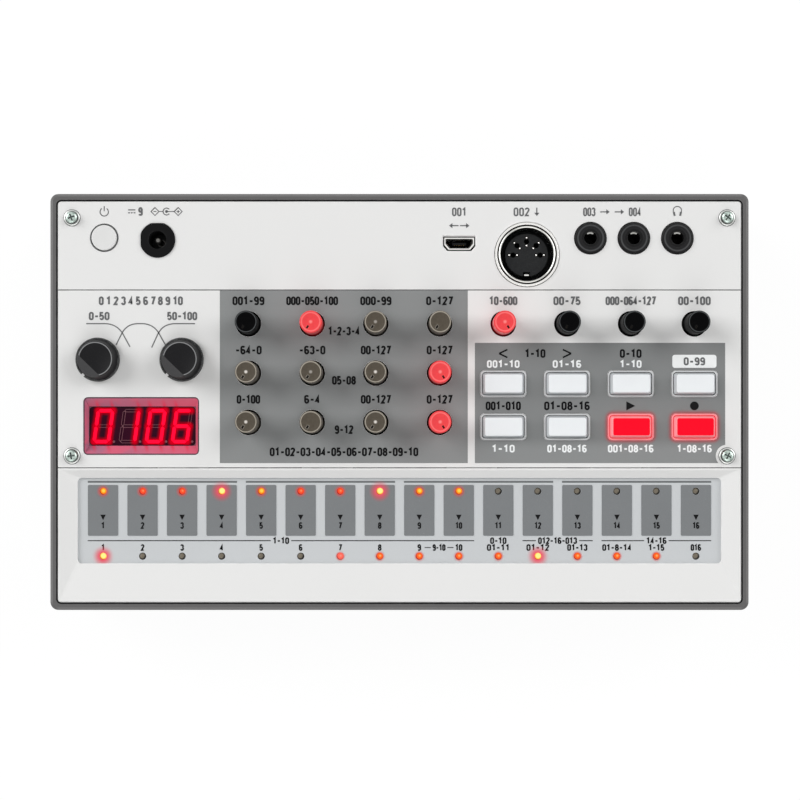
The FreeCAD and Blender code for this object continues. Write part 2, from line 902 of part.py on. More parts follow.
def make_touch_sheet():
    """The overlay under the bezel, with sixteen raised pads and a round hole over every lamp."""
    half_length = strip_half_width + sheet_overlap
    front = strip_front_y - sheet_overlap
    sheet = block(-half_length, half_length, front, strip_back_y + sheet_overlap, sheet_under, sheet_top)
    pads = []
    holes = []
    half_x = pad_width / 2
    pad_front = pad_row_y - pad_depth / 2
    pad_back = pad_row_y + pad_depth / 2
    for index in range(pad_count):
        x = pad_x(index)
        pads.append(block(x - half_x, x + half_x, pad_front, pad_back, sheet_under, sheet_top + pad_rise))
        for y in (step_lamp_y, part_lamp_y):
            holes.append(cylinder(x, y, lamp_hole_radius, sheet_under - 1, sheet_top + 1))
    return sheet.fuse(pads).cut(holes).removeSplitter()


def make_lamps(y):
    """Square lamps on the touch board, a little below the sheet's surface in the round holes."""
    lamps = []
    half = lamp_width / 2
    for index in range(pad_count):
        x = pad_x(index)
        lamps.append(block(x - half, x + half, y - half, y + half, sheet_under, sheet_top - lamp_below_sheet))
    return lamps


# Controls

def make_small_knob(x, y, pointer):
    """A translucent shaft that turns in its potentiometer; its upper end is the knob, with a short mark."""
    top = rim_top + knob_stand
    profile = [
        (0, main_board_top + knob_lamp_height + knob_above_lamp),
        (knob_radius, main_board_top + knob_lamp_height + knob_above_lamp),
        (knob_radius, top - knob_edge_bevel),
        (knob_radius - knob_edge_bevel, top),
        (0, top),
    ]
    knob = turned(x, y, profile)
    half = pointer_width / 2
    near = y + pointer_start
    mark = block(x - half, x + half, near, near + pointer_length, top - pointer_depth, top + 1)
    return knob.cut(turned_by_pointer(mark, x, y, pointer))


def pot_housing(x, y):
    half_x = pot_width / 2
    half_y = pot_depth / 2
    return block(x - half_x, x + half_x, y - half_y, y + half_y, main_board_top, pot_top)


def make_small_pots():
    pots = []
    half = knob_radius + knob_play
    for name, x, y in small_knobs:
        opening = block(x - half, x + half, y - half, y + half, main_board_top - 1, pot_top + 1)
        pots.append(pot_housing(x, y).cut(opening))
    return pots


def make_knob_lamps():
    lamps = []
    half = knob_lamp_width / 2
    top = main_board_top + knob_lamp_height
    for name, x, y in small_knobs:
        lamps.append(block(x - half, x + half, y - half, y + half, main_board_top, top))
    return lamps


def make_large_knob(x):
    """A skirted knob: a slanted facet runs from its top down to the notch in the skirt."""
    y = large_knob_y
    foot = rim_top + large_knob_gap
    top = rim_top + large_knob_stand
    profile = [
        (0, foot),
        (skirt_radius, foot),
        (skirt_radius, foot + skirt_height),
        (large_knob_foot_radius, foot + skirt_height),
        (large_knob_top_radius, top - large_knob_edge_bevel),
        (large_knob_top_radius - large_knob_edge_bevel, top),
        (0, top),
    ]
    knob = turned(x, y, profile)
    left = x - skirt_radius
    right = x + skirt_radius
    edge_y = y + facet_from_axis
    facet = block(left, right, edge_y, edge_y + 2 * skirt_radius, top, top + skirt_radius)
    facet.rotate(Vector(x, edge_y, top), Vector(1, 0, 0), -facet_slope)
    half = notch_width / 2
    notch_y = y + skirt_radius - notch_depth
    notch = block(x - half, x + half, notch_y, y + skirt_radius + 1, foot - 1, foot + notch_height)
    seat = cylinder(x, y, shaft_radius + shaft_seat_gap, foot - 1, foot + shaft_in_knob)
    pointer_cuts = [turned_by_pointer(cut, x, y, large_pointer_rest) for cut in (facet, notch)]
    return knob.cut(pointer_cuts + [seat])


def make_large_shaft(x):
    low = main_board_top + shaft_above_board
    high = rim_top + large_knob_gap + shaft_in_knob - shaft_seat_gap
    return cylinder(x, large_knob_y, shaft_radius, low, high)


def make_large_pots():
    """A potentiometer with a round collar for its metal shaft."""
    pots = []
    collar_top = face_under - large_pot_collar_below_panel
    for x in large_knob_places:
        y = large_knob_y
        collar = cylinder(x, y, large_pot_collar_radius, pot_top - 1, collar_top)
        bore_floor = main_board_top + shaft_above_board - shaft_end_gap
        bore = cylinder(x, y, shaft_radius + shaft_play, bore_floor, collar_top + 1)
        pots.append(pot_housing(x, y).fuse(collar).cut(bore).removeSplitter())
    return pots


def make_key(column, row):
    """A tapered cap on a neck, a flange that the frame holds down, and a stem that ends above its switch."""
    x = column_x(column)
    y = key_rows[row]
    flange_top = frame_plate_under - key_play
    flange_under = flange_top - key_flange_thickness
    lower = (key_width, key_depth, key_corner_radius, rim_top)
    upper = (key_top_width, key_top_depth, key_top_radius, rim_top + key_stand)
    neck_x = key_width / 2 - key_neck_inset
    neck_y = key_depth / 2 - key_neck_inset
    flange_x = key_width / 2 + key_flange_reach
    flange_y = key_depth / 2 + key_flange_reach
    half = key_stem_width / 2
    neck = block(x - neck_x, x + neck_x, y - neck_y, y + neck_y, flange_under, rim_top)
    flange = block(x - flange_x, x + flange_x, y - flange_y, y + flange_y, flange_under, flange_top)
    stem = block(x - half, x + half, y - half, y + half, stem_bottom, flange_under)
    return rounded_taper(x, y, lower, upper).fuse([neck, flange, stem]).removeSplitter()


def make_button_frame():
    """One clear moulding: a plate under the panel and a collar up through the panel round each key."""
    opening_width = key_width + 2 * key_play
    opening_radius = key_corner_radius + key_play
    collar_width = opening_width + 2 * collar_wall
    reach_x = collar_width / 2 + frame_plate_margin
    reach_y = key_collar_depth / 2 + frame_plate_margin
    left = column_x(sound_column_count) - reach_x
    right = column_x(column_count - 1) + reach_x
    front = key_rows[-1] - reach_y
    frame = block(left, right, front, key_rows[0] + reach_y, frame_plate_under, face_under)
    top = rim_top + collar_stand
    low = frame_plate_under
    collars = []
    openings = []
    for x, y in key_places:
        collars.append(rounded_block(x, y, collar_width, key_collar_depth, collar_corner_radius, low, top))
        opening = (opening_width, key_opening_depth, opening_radius)
        openings.append(rounded_block(x, y, *opening, low - 1, top + 1))
    return frame.fuse(collars).cut(openings).removeSplitter()


def make_power_button():
    x, y = power_place
    top = rim_top + power_stand
    flange_top = face_under - key_play
    flange_under = flange_top - key_flange_thickness
    cap = cylinder(x, y, power_radius, flange_under, top)
    cap = cap.makeChamfer(power_edge_bevel, edges_at(cap, top))
    reach = power_radius + power_flange_reach
    half = power_stem_width / 2
    flange = block(x - reach, x + reach, y - reach, y + reach, flange_under, flange_top)
    stem = block(x - half, x + half, y - half, y + half, stem_bottom, flange_under)
    return cap.fuse([flange, stem]).removeSplitter()


def make_switches():
    """Low square switches, each with a square plunger."""
    switches = []
    half = switch_width / 2
    inner = plunger_width / 2
    body_top = main_board_top + switch_height
    for x, y in [power_place] + key_places:
        body = block(x - half, x + half, y - half, y + half, main_board_top, body_top)
        plunger = block(x - inner, x + inner, y - inner, y + inner, body_top, switch_top)
        switches.append(body.fuse(plunger))
    return switches


# Display

def make_display_window():
    """The frame in the panel's opening; its inner faces slope down to the display's face."""
    x = display_x
    y = display_y
    top = rim_top - window_below_face
    under = face_under - window_below_panel
    width = window_width - 2 * window_gap
    depth = window_depth - 2 * window_gap
    frame = rounded_block(x, y, width, depth, window_corner_radius - window_gap, under, top)
    ear_x = window_width / 2 + window_ear_reach
    ear_y = window_ear_depth / 2
    frame = frame.fuse(block(x - ear_x, x + ear_x, y - ear_y, y + ear_y, under, face_under))
    lower = plain_outline(x, y, module_view_width, module_view_depth, under + module_view_wall)
    upper = plain_outline(x, y, width - 2 * window_lip, depth - 2 * window_lip, top)
    tray = Part.makeLoft([lower, upper], True, True)
    view = Part.Face(plain_outline(x, y, module_view_width, module_view_depth, under - 1))
    return frame.cut([tray, view.extrude(Vector(0, 0, 2 * panel_thickness))]).removeSplitter()


def segment_shape(x, y, run_x, run_y, half, height):
    """One bar of a digit: six-sided, from (x, y) along (run_x, run_y), cut to a point at both ends."""
    length = math.hypot(run_x, run_y)
    along = Vector(run_x / length, run_y / length, 0)
    across = Vector(-along.y, along.x, 0)
    start = Vector(x, y, height) + along * (half * 0.2)
    end = Vector(x + run_x, y + run_y, height) - along * (half * 0.2)
    points = [
        start,
        start + along * half + across * half,
        end - along * half + across * half,
        end,
        end - along * half - across * half,
        start + along * half - across * half,
    ]
    face = Part.Face(Part.makePolygon(points + points[:1]))
    return face.extrude(Vector(0, 0, 1))


def digit_segments(x, y, height):
    """The seven bars of one slanted digit."""
    lean = math.tan(math.radians(digit_slant))
    half = segment_width / 2
    step = digit_height / 2
    bars = []
    for row_y in (-step, 0, step):
        left = x - digit_width / 2 + lean * row_y
        bars.append(segment_shape(left, y + row_y, digit_width, 0, half, height))
    for side in (-1, 1):
        for row_y in (-step, 0):
            foot_x = x + side * digit_width / 2 + lean * row_y
            bars.append(segment_shape(foot_x, y + row_y, lean * step, step, half, height))
    return bars


def make_display_module():
    """The display's body; its bars and square points are sunk a little into the face."""
    top = face_under - window_below_panel
    half_x = module_view_width / 2 + module_margin
    half_y = module_view_depth / 2 + module_margin
    left = display_x - half_x
    right = display_x + half_x
    module = block(left, right, display_y - half_y, display_y + half_y, main_board_top, top)
    floor = top - segment_depth
    half = point_width / 2
    cuts = []
    for index in range(digit_count):
        x = display_x + (index - (digit_count - 1) / 2) * digit_pitch
        cuts += digit_segments(x, display_y, floor)
        point_x = x + digit_pitch / 2 - segment_width
        point_y = display_y - digit_height / 2
        cuts.append(block(point_x - half, point_x + half, point_y - half, point_y + half, floor, top + 1))
    return module.cut(cuts)


# Sockets

def make_jack(index):
    """A 3.5 mm jack socket: a square body on the board and a round collar up through the panel."""
    x, y = jack_place(index)
    half_x = jack_body_width / 2
    half_y = jack_body_depth / 2
    top = rim_top + jack_collar_stand
    body_top = face_under - jack_body_below_panel
    body = block(x - half_x, x + half_x, y - half_y, y + half_y, main_board_top, body_top)
    collar = cylinder(x, y, jack_collar_radius, (main_board_top + body_top) / 2, top)
    collar = collar.makeChamfer(jack_collar_edge, edges_at(collar, top))
    bore = cylinder(x, y, jack_bore_radius, main_board_top + jack_bore_floor, top + 1)
    return body.fuse(collar).cut(bore).removeSplitter()


def make_dc_socket():
    """A square body, a collar with two flats, and a deep round bore round the pin."""
    x, y = adaptor_place
    half = adaptor_body_width / 2
    body_top = face_under - adaptor_body_below_panel
    body = block(x - half, x + half, y - half, y + half, main_board_top, body_top)
    body = body.fuse(adaptor_collar(0, (main_board_top + body_top) / 2, adaptor_top))
    bore = cylinder(x, y, adaptor_bore_radius, adaptor_bore_floor, adaptor_top + 1)
    root = cylinder(x, y, adaptor_pin_root_radius, main_board_top - 1, adaptor_bore_floor + 1)
    return body.cut([bore, root]).removeSplitter()


def make_dc_pin():
    """The centre pin; its thicker root fills the hole in the socket's floor."""
    x, y = adaptor_place
    top = adaptor_top - adaptor_pin_below
    pin = cylinder(x, y, adaptor_pin_radius, adaptor_bore_floor, top)
    pin = pin.makeChamfer(adaptor_pin_bevel, edges_at(pin, top))
    return pin.fuse(cylinder(x, y, adaptor_pin_root_radius, main_board_top, adaptor_bore_floor))


def make_din_shell():
    x, y = din_place
    top = rim_top + din_stand
    outer = cylinder(x, y, din_shell_radius, main_board_top, top)
    return outer.cut(cylinder(x, y, din_shell_radius - din_shell_wall, main_board_top - 1, top + 1))


def make_din_insert():
    """The plug's shield goes into the ring-shaped gap between this insert and the shell."""
    x, y = din_place
    top = rim_top - din_insert_below
    insert = cylinder(x, y, din_insert_radius, main_board_top, top)
    base_radius = din_shell_radius - din_shell_wall
    insert = insert.fuse(cylinder(x, y, base_radius, main_board_top, main_board_top + din_base_height))
    cuts = []
    for angle in din_contact_angles:
        contact_x = x + din_contact_circle * math.cos(math.radians(angle))
        contact_y = y + din_contact_circle * math.sin(math.radians(angle))
        cuts.append(cylinder(contact_x, contact_y, din_contact_radius, top - din_contact_depth, top + 1))
    half = din_key_width / 2
    edge_y = y - din_insert_radius
    base_top = main_board_top + din_base_height
    cuts.append(block(x - half, x + half, edge_y - 1, edge_y + din_key_depth, base_top, top + 1))
    return insert.cut(cuts).removeSplitter()


def make_usb_shell():
    """A folded metal shell whose mouth flares outwards."""
    mouth = rim_top - usb_below_face
    neck = mouth - usb_flare_height
    outer = usb_prism(0, main_board_top, neck)
    outer = outer.fuse(usb_flared(0, neck, usb_flare, mouth))
    inner = usb_prism(-usb_wall, main_board_top - 1, neck)
    inner = inner.fuse(usb_flared(-usb_wall, neck, usb_flare - usb_wall, mouth))
    return outer.cut(inner).removeSplitter()


def make_usb_tongue():
    """The insulator fills the shell's foot and carries a thin tongue up its middle."""
    x, y = usb_place
    base_top = main_board_top + board_thickness
    base = usb_prism(-usb_wall, main_board_top, base_top)
    half_x = usb_tongue_width / 2
    half_y = usb_tongue_thickness / 2
    tongue_top = rim_top - usb_below_face - usb_tongue_below
    tongue = block(x - half_x, x + half_x, y - half_y, y + half_y, base_top, tongue_top)
    return base.fuse(tongue).removeSplitter()


# Cells and contacts

def make_battery_cells():
    cells = []
    for row in range(cell_rows):
        y = cell_row_y(row)
        heading = 1 if row % 2 == 0 else -1
        for index in range(cells_in_row):
            tail_x = heading * (index - cells_in_row / 2) * cell_length
            along = Vector(heading, 0, 0)
            start = Vector(tail_x, y, cell_axis_height)
            body = Part.makeCylinder(cell_radius, cell_length - cell_nub_length, start, along)
            nub = Part.makeCylinder(cell_nub_radius, cell_length, start, along)
            cells.append(body.fuse(nub).removeSplitter())
    return cells


def make_battery_contacts():
    """A plate at each end of each row: a tapered spring at the cells' flat end, a bent tab at the other."""
    contacts = []
    half = contact_width / 2
    tab = contact_tab_width / 2
    room = contact_room - contact_thickness
    low = cell_axis_height - half
    high = cell_axis_height + half
    tails = contact_tails(0)
    for row in range(cell_rows):
        y = cell_row_y(row)
        spring_side = -1 if row % 2 == 0 else 1
        for side in (-1, 1):
            wall_x = side * bay_half_length
            plate_x = wall_x - side * contact_thickness
            cell_x = plate_x - side * room
            plate = block(min(wall_x, plate_x), max(wall_x, plate_x), y - half, y + half, low, high)
            if side == spring_side:
                foot = Vector(plate_x, y, cell_axis_height)
                tip = Part.makeCone(contact_spring_foot, contact_spring_tip, room, foot, Vector(-side, 0, 0))
            else:
                near = min(cell_x, plate_x)
                far = max(cell_x, plate_x)
                tip = block(near, far, y - tab, y + tab, cell_axis_height - tab, cell_axis_height + tab)
            contact = plate.fuse(tip)
            if row == cell_rows - 1:
                contact = contact.fuse(tails[0] if side < 0 else tails[1])
            contacts.append(contact.removeSplitter())
    return contacts


# The whole object: node name to one solid, or to a list of separate solids

def all_nodes():
    nodes = {
        "lower_case": make_lower_case(),
        "battery_door": make_battery_door(),
        "rubber_feet": make_rubber_feet(),
        "top_panel": make_top_panel(),
        "touch_bezel": make_touch_bezel(),
        "panel_screws": make_panel_screws(),
        "main_board": make_main_board(),
        "touch_board": make_touch_board(),
        "board_screws": make_board_screws(),
        "ribbon_cable": make_ribbon_cable(),
        "touch_sheet": make_touch_sheet(),
        "step_leds": make_lamps(step_lamp_y),
        "part_leds": make_lamps(part_lamp_y),
        "small_pots": make_small_pots(),
        "knob_leds": make_knob_lamps(),
        "large_pots": make_large_pots(),
        "button_frame": make_button_frame(),
        "power_button": make_power_button(),
        "push_switches": make_switches(),
        "display_window": make_display_window(),
        "display_module": make_display_module(),
        "jack_sync_in": make_jack(0),
        "jack_sync_out": make_jack(1),
        "jack_headphones": make_jack(2),
        "dc_socket": make_dc_socket(),
        "dc_pin": make_dc_pin(),
        "din_shell": make_din_shell(),
        "din_insert": make_din_insert(),
        "usb_shell": make_usb_shell(),
        "usb_tongue": make_usb_tongue(),
        "battery_cells": make_battery_cells(),
        "battery_contacts": make_battery_contacts(),
    }
    for name, x, y in small_knobs:
        pointer = pointer_rest_high if name in knobs_resting_high else pointer_rest_low
        nodes[name] = make_small_knob(x, y, pointer)
    for name, x in zip(("bass", "treble"), large_knob_places):
        nodes["knob_" + name] = make_large_knob(x)
        nodes["shaft_" + name] = make_large_shaft(x)
    for row, names in enumerate(key_names):
        for index, name in enumerate(names):
            nodes[name] = make_key(sound_column_count + index, row)
    return nodes


os.makedirs("parts", exist_ok=True)
for name, shape in all_nodes().items():
    pieces = shape if isinstance(shape, list) else shape.Solids
    for piece in pieces:
        if not piece.isValid() or len(piece.Solids) != 1:
            print("check", name, "valid", piece.isValid(), "solids", len(piece.Solids))
    whole = pieces[0] if len(pieces) == 1 else Part.makeCompound(pieces)
    whole.exportStep("parts/" + name + ".step")
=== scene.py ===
import math

import bmesh
import bpy
from mathutils import Matrix, Vector
from mathutils.geometry import tessellate_polygon


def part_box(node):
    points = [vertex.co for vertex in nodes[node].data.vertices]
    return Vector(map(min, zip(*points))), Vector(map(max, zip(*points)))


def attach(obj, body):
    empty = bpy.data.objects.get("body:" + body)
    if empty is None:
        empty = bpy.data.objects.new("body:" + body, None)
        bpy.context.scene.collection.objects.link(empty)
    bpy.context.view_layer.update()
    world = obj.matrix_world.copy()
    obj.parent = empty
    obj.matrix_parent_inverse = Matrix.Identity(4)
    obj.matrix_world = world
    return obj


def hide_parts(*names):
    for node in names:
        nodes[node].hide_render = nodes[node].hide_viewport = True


# Desktop sampler: finishes, prints, lamps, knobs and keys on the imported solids.
# Sizes are in millimetres in the row frame and become metres where a mesh is made.

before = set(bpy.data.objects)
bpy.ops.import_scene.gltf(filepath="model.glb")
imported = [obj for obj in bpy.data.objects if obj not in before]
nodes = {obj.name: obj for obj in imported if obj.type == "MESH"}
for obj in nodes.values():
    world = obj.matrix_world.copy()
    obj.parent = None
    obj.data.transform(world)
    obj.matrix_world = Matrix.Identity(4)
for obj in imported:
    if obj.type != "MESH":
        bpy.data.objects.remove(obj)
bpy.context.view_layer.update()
MM = 0.001

# Heights on the object
face = 36.0
sheet_face = 34.0
pad_face = 34.1
print_lift = 0.03
ink_lift = 0.05

# Knobs
knob_radius = 3.05
knob_top = 45.0
knob_foot = 24.8
knob_edge = 0.28
knob_rest_low = -148.0
knob_rest_high = 148.0
large_knob_rest = -136.0

# Keys
key_width = 11.4
key_depth = 6.0
key_top_width = 10.3
key_top_depth = 5.0
key_top = 38.2
key_edge = 0.22
key_foot = 31.0
key_flange = (31.8, 32.6)
switch_top = 27.9
key_row_front = -6.9
lit_keys = ("button_play", "button_record")

# Printed blocks and groove
groove_y = 30.9
knob_block = (-49.6, 18.85, -16.9, 30.74)
key_block = (20.8, 89.9, -16.9, 16.3)
knob_hole = 3.55
key_hole = (12.8, 7.4, 1.3)

# Touch strip
pad_count = 16
pad_pitch = 10.95
pad_width = 8.5
pad_depth = 14.2
pad_y = -30.0
pad_corner = 0.35
step_lamp_y = -24.7
part_lamp_y = -42.7
lamp_hole = 1.0
group_bar_y = -22.1
rule_y = -38.4
numeral_y = -40.3

# Display
display_x = -71.3
display_y = -6.65
digit_pitch = 7.25
digit_width = 4.0
digit_height = 8.6
digit_slant = 8.0
module_face = 33.0
shown_figures = "0106"

# Cells in the bay, which lie in a line end to end
cell_length = 50.5


def box_middle(node):
    """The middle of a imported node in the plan, in millimetres."""
    low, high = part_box(node)
    middle = (low + high) / 2 / MM
    return middle.x, middle.y


def pad_x(index):
    """Where a pad of the touch strip stands, counted from the left."""
    return (index - (pad_count - 1) / 2) * pad_pitch


# Paint and the node trees of the finishes

def paint(red, green, blue):
    """A colour as a shader takes it, from its values on a paint chart that runs to 255."""
    def straight(value):
        share = value / 255
        return share / 12.92 if share <= 0.04045 else ((share + 0.055) / 1.055) ** 2.4
    return (straight(red), straight(green), straight(blue), 1.0)


def scaled(colour, factor):
    return tuple(min(part * factor, 1.0) for part in colour[:3]) + (1.0,)


def connect(tree, value, socket):
    """Sets a socket to a constant, or links another node's output to it."""
    if isinstance(value, (int, float, tuple)):
        socket.default_value = value
    else:
        tree.links.new(value, socket)


def new_node(tree, kind, **inputs):
    """A shader node with its inputs set or linked; an underscore stands for a space in an input's name."""
    node = tree.nodes.new("ShaderNode" + kind)
    for label, value in inputs.items():
        connect(tree, value, node.inputs[label.replace("_", " ")])
    return node


def group_node(tree, group, **inputs):
    node = tree.nodes.new("ShaderNodeGroup")
    node.node_tree = group
    for label, value in inputs.items():
        node.inputs[label].default_value = value
    return node


def new_group(name, inputs, outputs):
    """An effect group with its own input and output nodes."""
    group = bpy.data.node_groups.new(name, "ShaderNodeTree")
    for label, value in inputs.items():
        socket = group.interface.new_socket(name=label, in_out="INPUT", socket_type="NodeSocketFloat")
        socket.default_value = value
    for label in outputs:
        group.interface.new_socket(name=label, in_out="OUTPUT", socket_type="NodeSocketFloat")
    start = group.nodes.new("NodeGroupInput")
    end = group.nodes.new("NodeGroupOutput")
    return group, start.outputs, end.inputs


def new_material(name):
    material = bpy.data.materials.new(name)
    material.use_nodes = True
    return material, material.node_tree, material.node_tree.nodes["Principled BSDF"]


def math_node(tree, operation, *values):
    node = tree.nodes.new("ShaderNodeMath")
    node.operation = operation
    for socket, value in zip(node.inputs, values):
        connect(tree, value, socket)
    return node.outputs[0]


def ramp_between(tree, value, low, high, smooth=True):
    """0 below low and 1 above high; low may be the larger of the two."""
    node = new_node(tree, "MapRange", Value=value, From_Min=low, From_Max=high)
    node.interpolation_type = "SMOOTHSTEP" if smooth else "LINEAR"
    return node.outputs["Result"]


def noise(tree, place, scale, detail=2.0):
    return new_node(tree, "TexNoise", Vector=place, Scale=scale, Detail=detail).outputs["Fac"]


def mix_colours(tree, factor, first, second):
    node = new_node(tree, "Mix")
    node.data_type = "RGBA"
    connect(tree, factor, node.inputs["Factor"])
    connect(tree, first, node.inputs[6])
    connect(tree, second, node.inputs[7])
    return node.outputs[2]


def mix_shaders(tree, factor, first, second):
    node = new_node(tree, "MixShader", Fac=factor)
    connect(tree, first, node.inputs[1])
    connect(tree, second, node.inputs[2])
    return node.outputs[0]


def own_place(tree):
    """Where a spot lies in the piece's own coordinates, in metres."""
    return new_node(tree, "TexCoord").outputs["Object"]


def flat_normal(tree):
    return new_node(tree, "NewGeometry").outputs["Normal"]


def upward(tree):
    """How far the surface faces up: 1 on a flat top and 0 on a wall."""
    return new_node(tree, "SeparateXYZ", Vector=flat_normal(tree)).outputs["Z"]


def followed_by_eye(tree):
    """1 for the rays that the eye follows: straight, mirrored, or through something clear."""
    ray = new_node(tree, "LightPath").outputs
    seen = math_node(tree, "MAXIMUM", ray["Is Camera Ray"], ray["Is Glossy Ray"])
    return math_node(tree, "MAXIMUM", seen, ray["Is Transmission Ray"])


def make_grain_group():
    """Moulded grain: a fine height and a slow patch of tone, both from the piece's own coordinates."""
    group, given, result = new_group("moulded_grain", {"Grain": 5000.0, "Patch": 60.0}, ["Height", "Tone"])
    place = own_place(group)
    connect(group, noise(group, place, given["Grain"], 3.0), result["Height"])
    connect(group, noise(group, place, given["Patch"]), result["Tone"])
    return group


def make_edge_wear_and_sheen_group():
    """Edges picked out by wear and by painted sheen: the rounded normal leaves the flat one along an edge."""
    group, given, result = new_group("edge_wear_and_sheen_group", {"Reach": 0.0002, "Breakup": 900.0}, ["Rub"])
    rounded = new_node(group, "Bevel", Radius=given["Reach"])
    rounded.samples = 4
    match = new_node(group, "VectorMath")
    match.operation = "DOT_PRODUCT"
    connect(group, rounded.outputs["Normal"], match.inputs[0])
    connect(group, flat_normal(group), match.inputs[1])
    edge = ramp_between(group, match.outputs["Value"], 0.995, 0.88)
    patches = ramp_between(group, noise(group, own_place(group), given["Breakup"], 3.0), 0.35, 0.6)
    connect(group, math_node(group, "MULTIPLY", edge, patches), result["Rub"])
    return group


def make_dust_group():
    """Fine dust on what faces up, thicker in some places than in others."""
    group, given, result = new_group("settled_dust", {"Speckle": 3500.0}, ["Dust"])
    place = own_place(group)
    specks = ramp_between(group, noise(group, place, given["Speckle"], 4.0), 0.56, 0.78)
    drifts = math_node(group, "MULTIPLY", specks, noise(group, place, 45.0))
    lying = ramp_between(group, upward(group), 0.6, 0.95)
    connect(group, math_node(group, "MULTIPLY", drifts, lying), result["Dust"])
    return group


def make_radial_group():
    """Places from the piece's own upright axis in millimetres: straight out, along X, along Y and up."""
    group, _, result = new_group("from_axis", {}, ["Distance", "X", "Y", "Height"])
    split = new_node(group, "SeparateXYZ", Vector=own_place(group)).outputs
    x, y, z = (math_node(group, "MULTIPLY", split[axis], 1 / MM) for axis in "XYZ")
    squares = math_node(group, "ADD", math_node(group, "MULTIPLY", x, x), math_node(group, "MULTIPLY", y, y))
    for label, value in (("Distance", math_node(group, "SQRT", squares)), ("X", x), ("Y", y), ("Height", z)):
        connect(group, value, result[label])
    return group


moulded_grain = make_grain_group()
edge_wear_and_sheen_group = make_edge_wear_and_sheen_group()
settled_dust = make_dust_group()
from_axis = make_radial_group()


class Finish:
    """A material that is built up from its base colour, one layer at a time."""

    def __init__(self, name, colour, roughness, grain=5000.0, patch=60.0, tone=0.05, relief=0.01, **plain):
        self.material, self.tree, self.shader = new_material(name)
        for label, value in plain.items():
            self.shader.inputs[label.replace("_", " ").title().replace("Ior", "IOR")].default_value = value
        surface = group_node(self.tree, moulded_grain, Grain=grain, Patch=patch).outputs
        self.colour = self.mix(surface["Tone"], scaled(colour, 1 - tone), scaled(colour, 1 + tone))
        waver = self.math("MULTIPLY_ADD", surface["Tone"], 0.12, roughness - 0.06)
        connect(self.tree, waver, self.shader.inputs["Roughness"])
        if relief:
            bump = new_node(self.tree, "Bump", Strength=0.5, Distance=relief * MM, Height=surface["Height"])
            connect(self.tree, bump.outputs["Normal"], self.shader.inputs["Normal"])

    def mix(self, factor, first, second):
        return mix_colours(self.tree, factor, first, second)

    def math(self, operation, *values):
        return math_node(self.tree, operation, *values)

    def ramp(self, value, low, high, smooth=True):
        return ramp_between(self.tree, value, low, high, smooth)

    def near(self, place, middle, outer, inner):
        """1 within the inner distance of a middle value, 0 beyond the outer one."""
        return self.ramp(self.math("ABSOLUTE", self.math("SUBTRACT", place, middle)), outer, inner)

    def noise(self, scale, detail=2.0):
        return noise(self.tree, own_place(self.tree), scale, detail)

    def axis(self):
        return group_node(self.tree, from_axis).outputs

    def facing_up(self, low=0.6, high=0.9):
        return self.ramp(upward(self.tree), low, high)

    def over(self, mask, colour, amount=1.0):
        """Lays a colour over the finish where the mask is."""
        if amount != 1.0:
            mask = self.math("MULTIPLY", mask, amount)
        self.colour = self.mix(mask, self.colour, colour)
        return self

    def edge_wear_and_sheen(self, colour, amount=0.5, reach=0.2, breakup=900.0):
        """Wear and painted sheen along the edges, as wide as the reach in millimetres."""
        wear_and_sheen = group_node(self.tree, edge_wear_and_sheen_group, Reach=reach * MM, Breakup=breakup)
        return self.over(wear_and_sheen.outputs["Rub"], colour, amount)

    def dusty(self, colour, amount=0.3):
        return self.over(group_node(self.tree, settled_dust).outputs["Dust"], colour, amount)

    def painted_ring(self, radius, half_width, colour, amount):
        """A painted ring round the piece's own axis, on what faces up: a highlight where its colour is paler
        than the finish, shade where it is darker.
        """
        ring = self.near(self.axis()["Distance"], radius, half_width * 1.3, half_width * 0.5)
        return self.over(self.math("MULTIPLY", ring, self.facing_up(0.2, 0.5)), colour, amount)

    def glowing(self, colour, strength):
        """Light that the piece gives off by itself."""
        connect(self.tree, colour, self.shader.inputs["Emission Color"])
        self.shader.inputs["Emission Strength"].default_value = strength
        return self

    def done(self):
        connect(self.tree, self.colour, self.shader.inputs["Base Color"])
        return self.material


# Finishes of the case, the panel and the metal and black pieces

dust_tint = paint(205, 203, 198)
wear_and_sheen_grey = paint(168, 168, 167)


def make_case_finish():
    """Grey moulding, with a painted highlight along the rounded crown of the rim, and wear and painted sheen
    along the edges.
    """
    case = Finish("case_grey", paint(88, 87, 87), 0.5, grain=4200, relief=0.02, specular_ior_level=0.4)
    crown_x = 96.0
    crown_y = 57.0
    corner = 0.8
    fade = 1.2
    axis = case.axis()
    x = case.math("ABSOLUTE", axis["X"])
    y = case.math("ABSOLUTE", axis["Y"])
    sides = case.math("MULTIPLY", case.near(x, crown_x, 0.4, 0.1),
                      case.ramp(y, crown_y - corner, crown_y - corner - fade))
    ends = case.math("MULTIPLY", case.near(y, crown_y, 0.4, 0.1),
                     case.ramp(x, crown_x - corner, crown_x - corner - fade))
    crown = case.math("MULTIPLY", case.math("MAXIMUM", sides, ends), case.facing_up(0.4, 0.7))
    case.over(crown, paint(116, 115, 115), 0.75)
    return case.edge_wear_and_sheen(wear_and_sheen_grey, 0.5, 0.35).dusty(dust_tint, 0.12).done()


def make_key_finish():
    """White plastic, with painted shade that makes the sides greyer and a painted highlight along the edges.
    """
    key = Finish("key_white", paint(235, 238, 240), 0.36, patch=300, tone=0.01, relief=0.006, grain=5200)
    key.over(key.math("SUBTRACT", 1.0, key.facing_up(0.35, 0.9)), paint(196, 201, 204), 0.9)
    return key.edge_wear_and_sheen(paint(250, 251, 252), 0.8, 0.2, 600).dusty(dust_tint, 0.1).done()


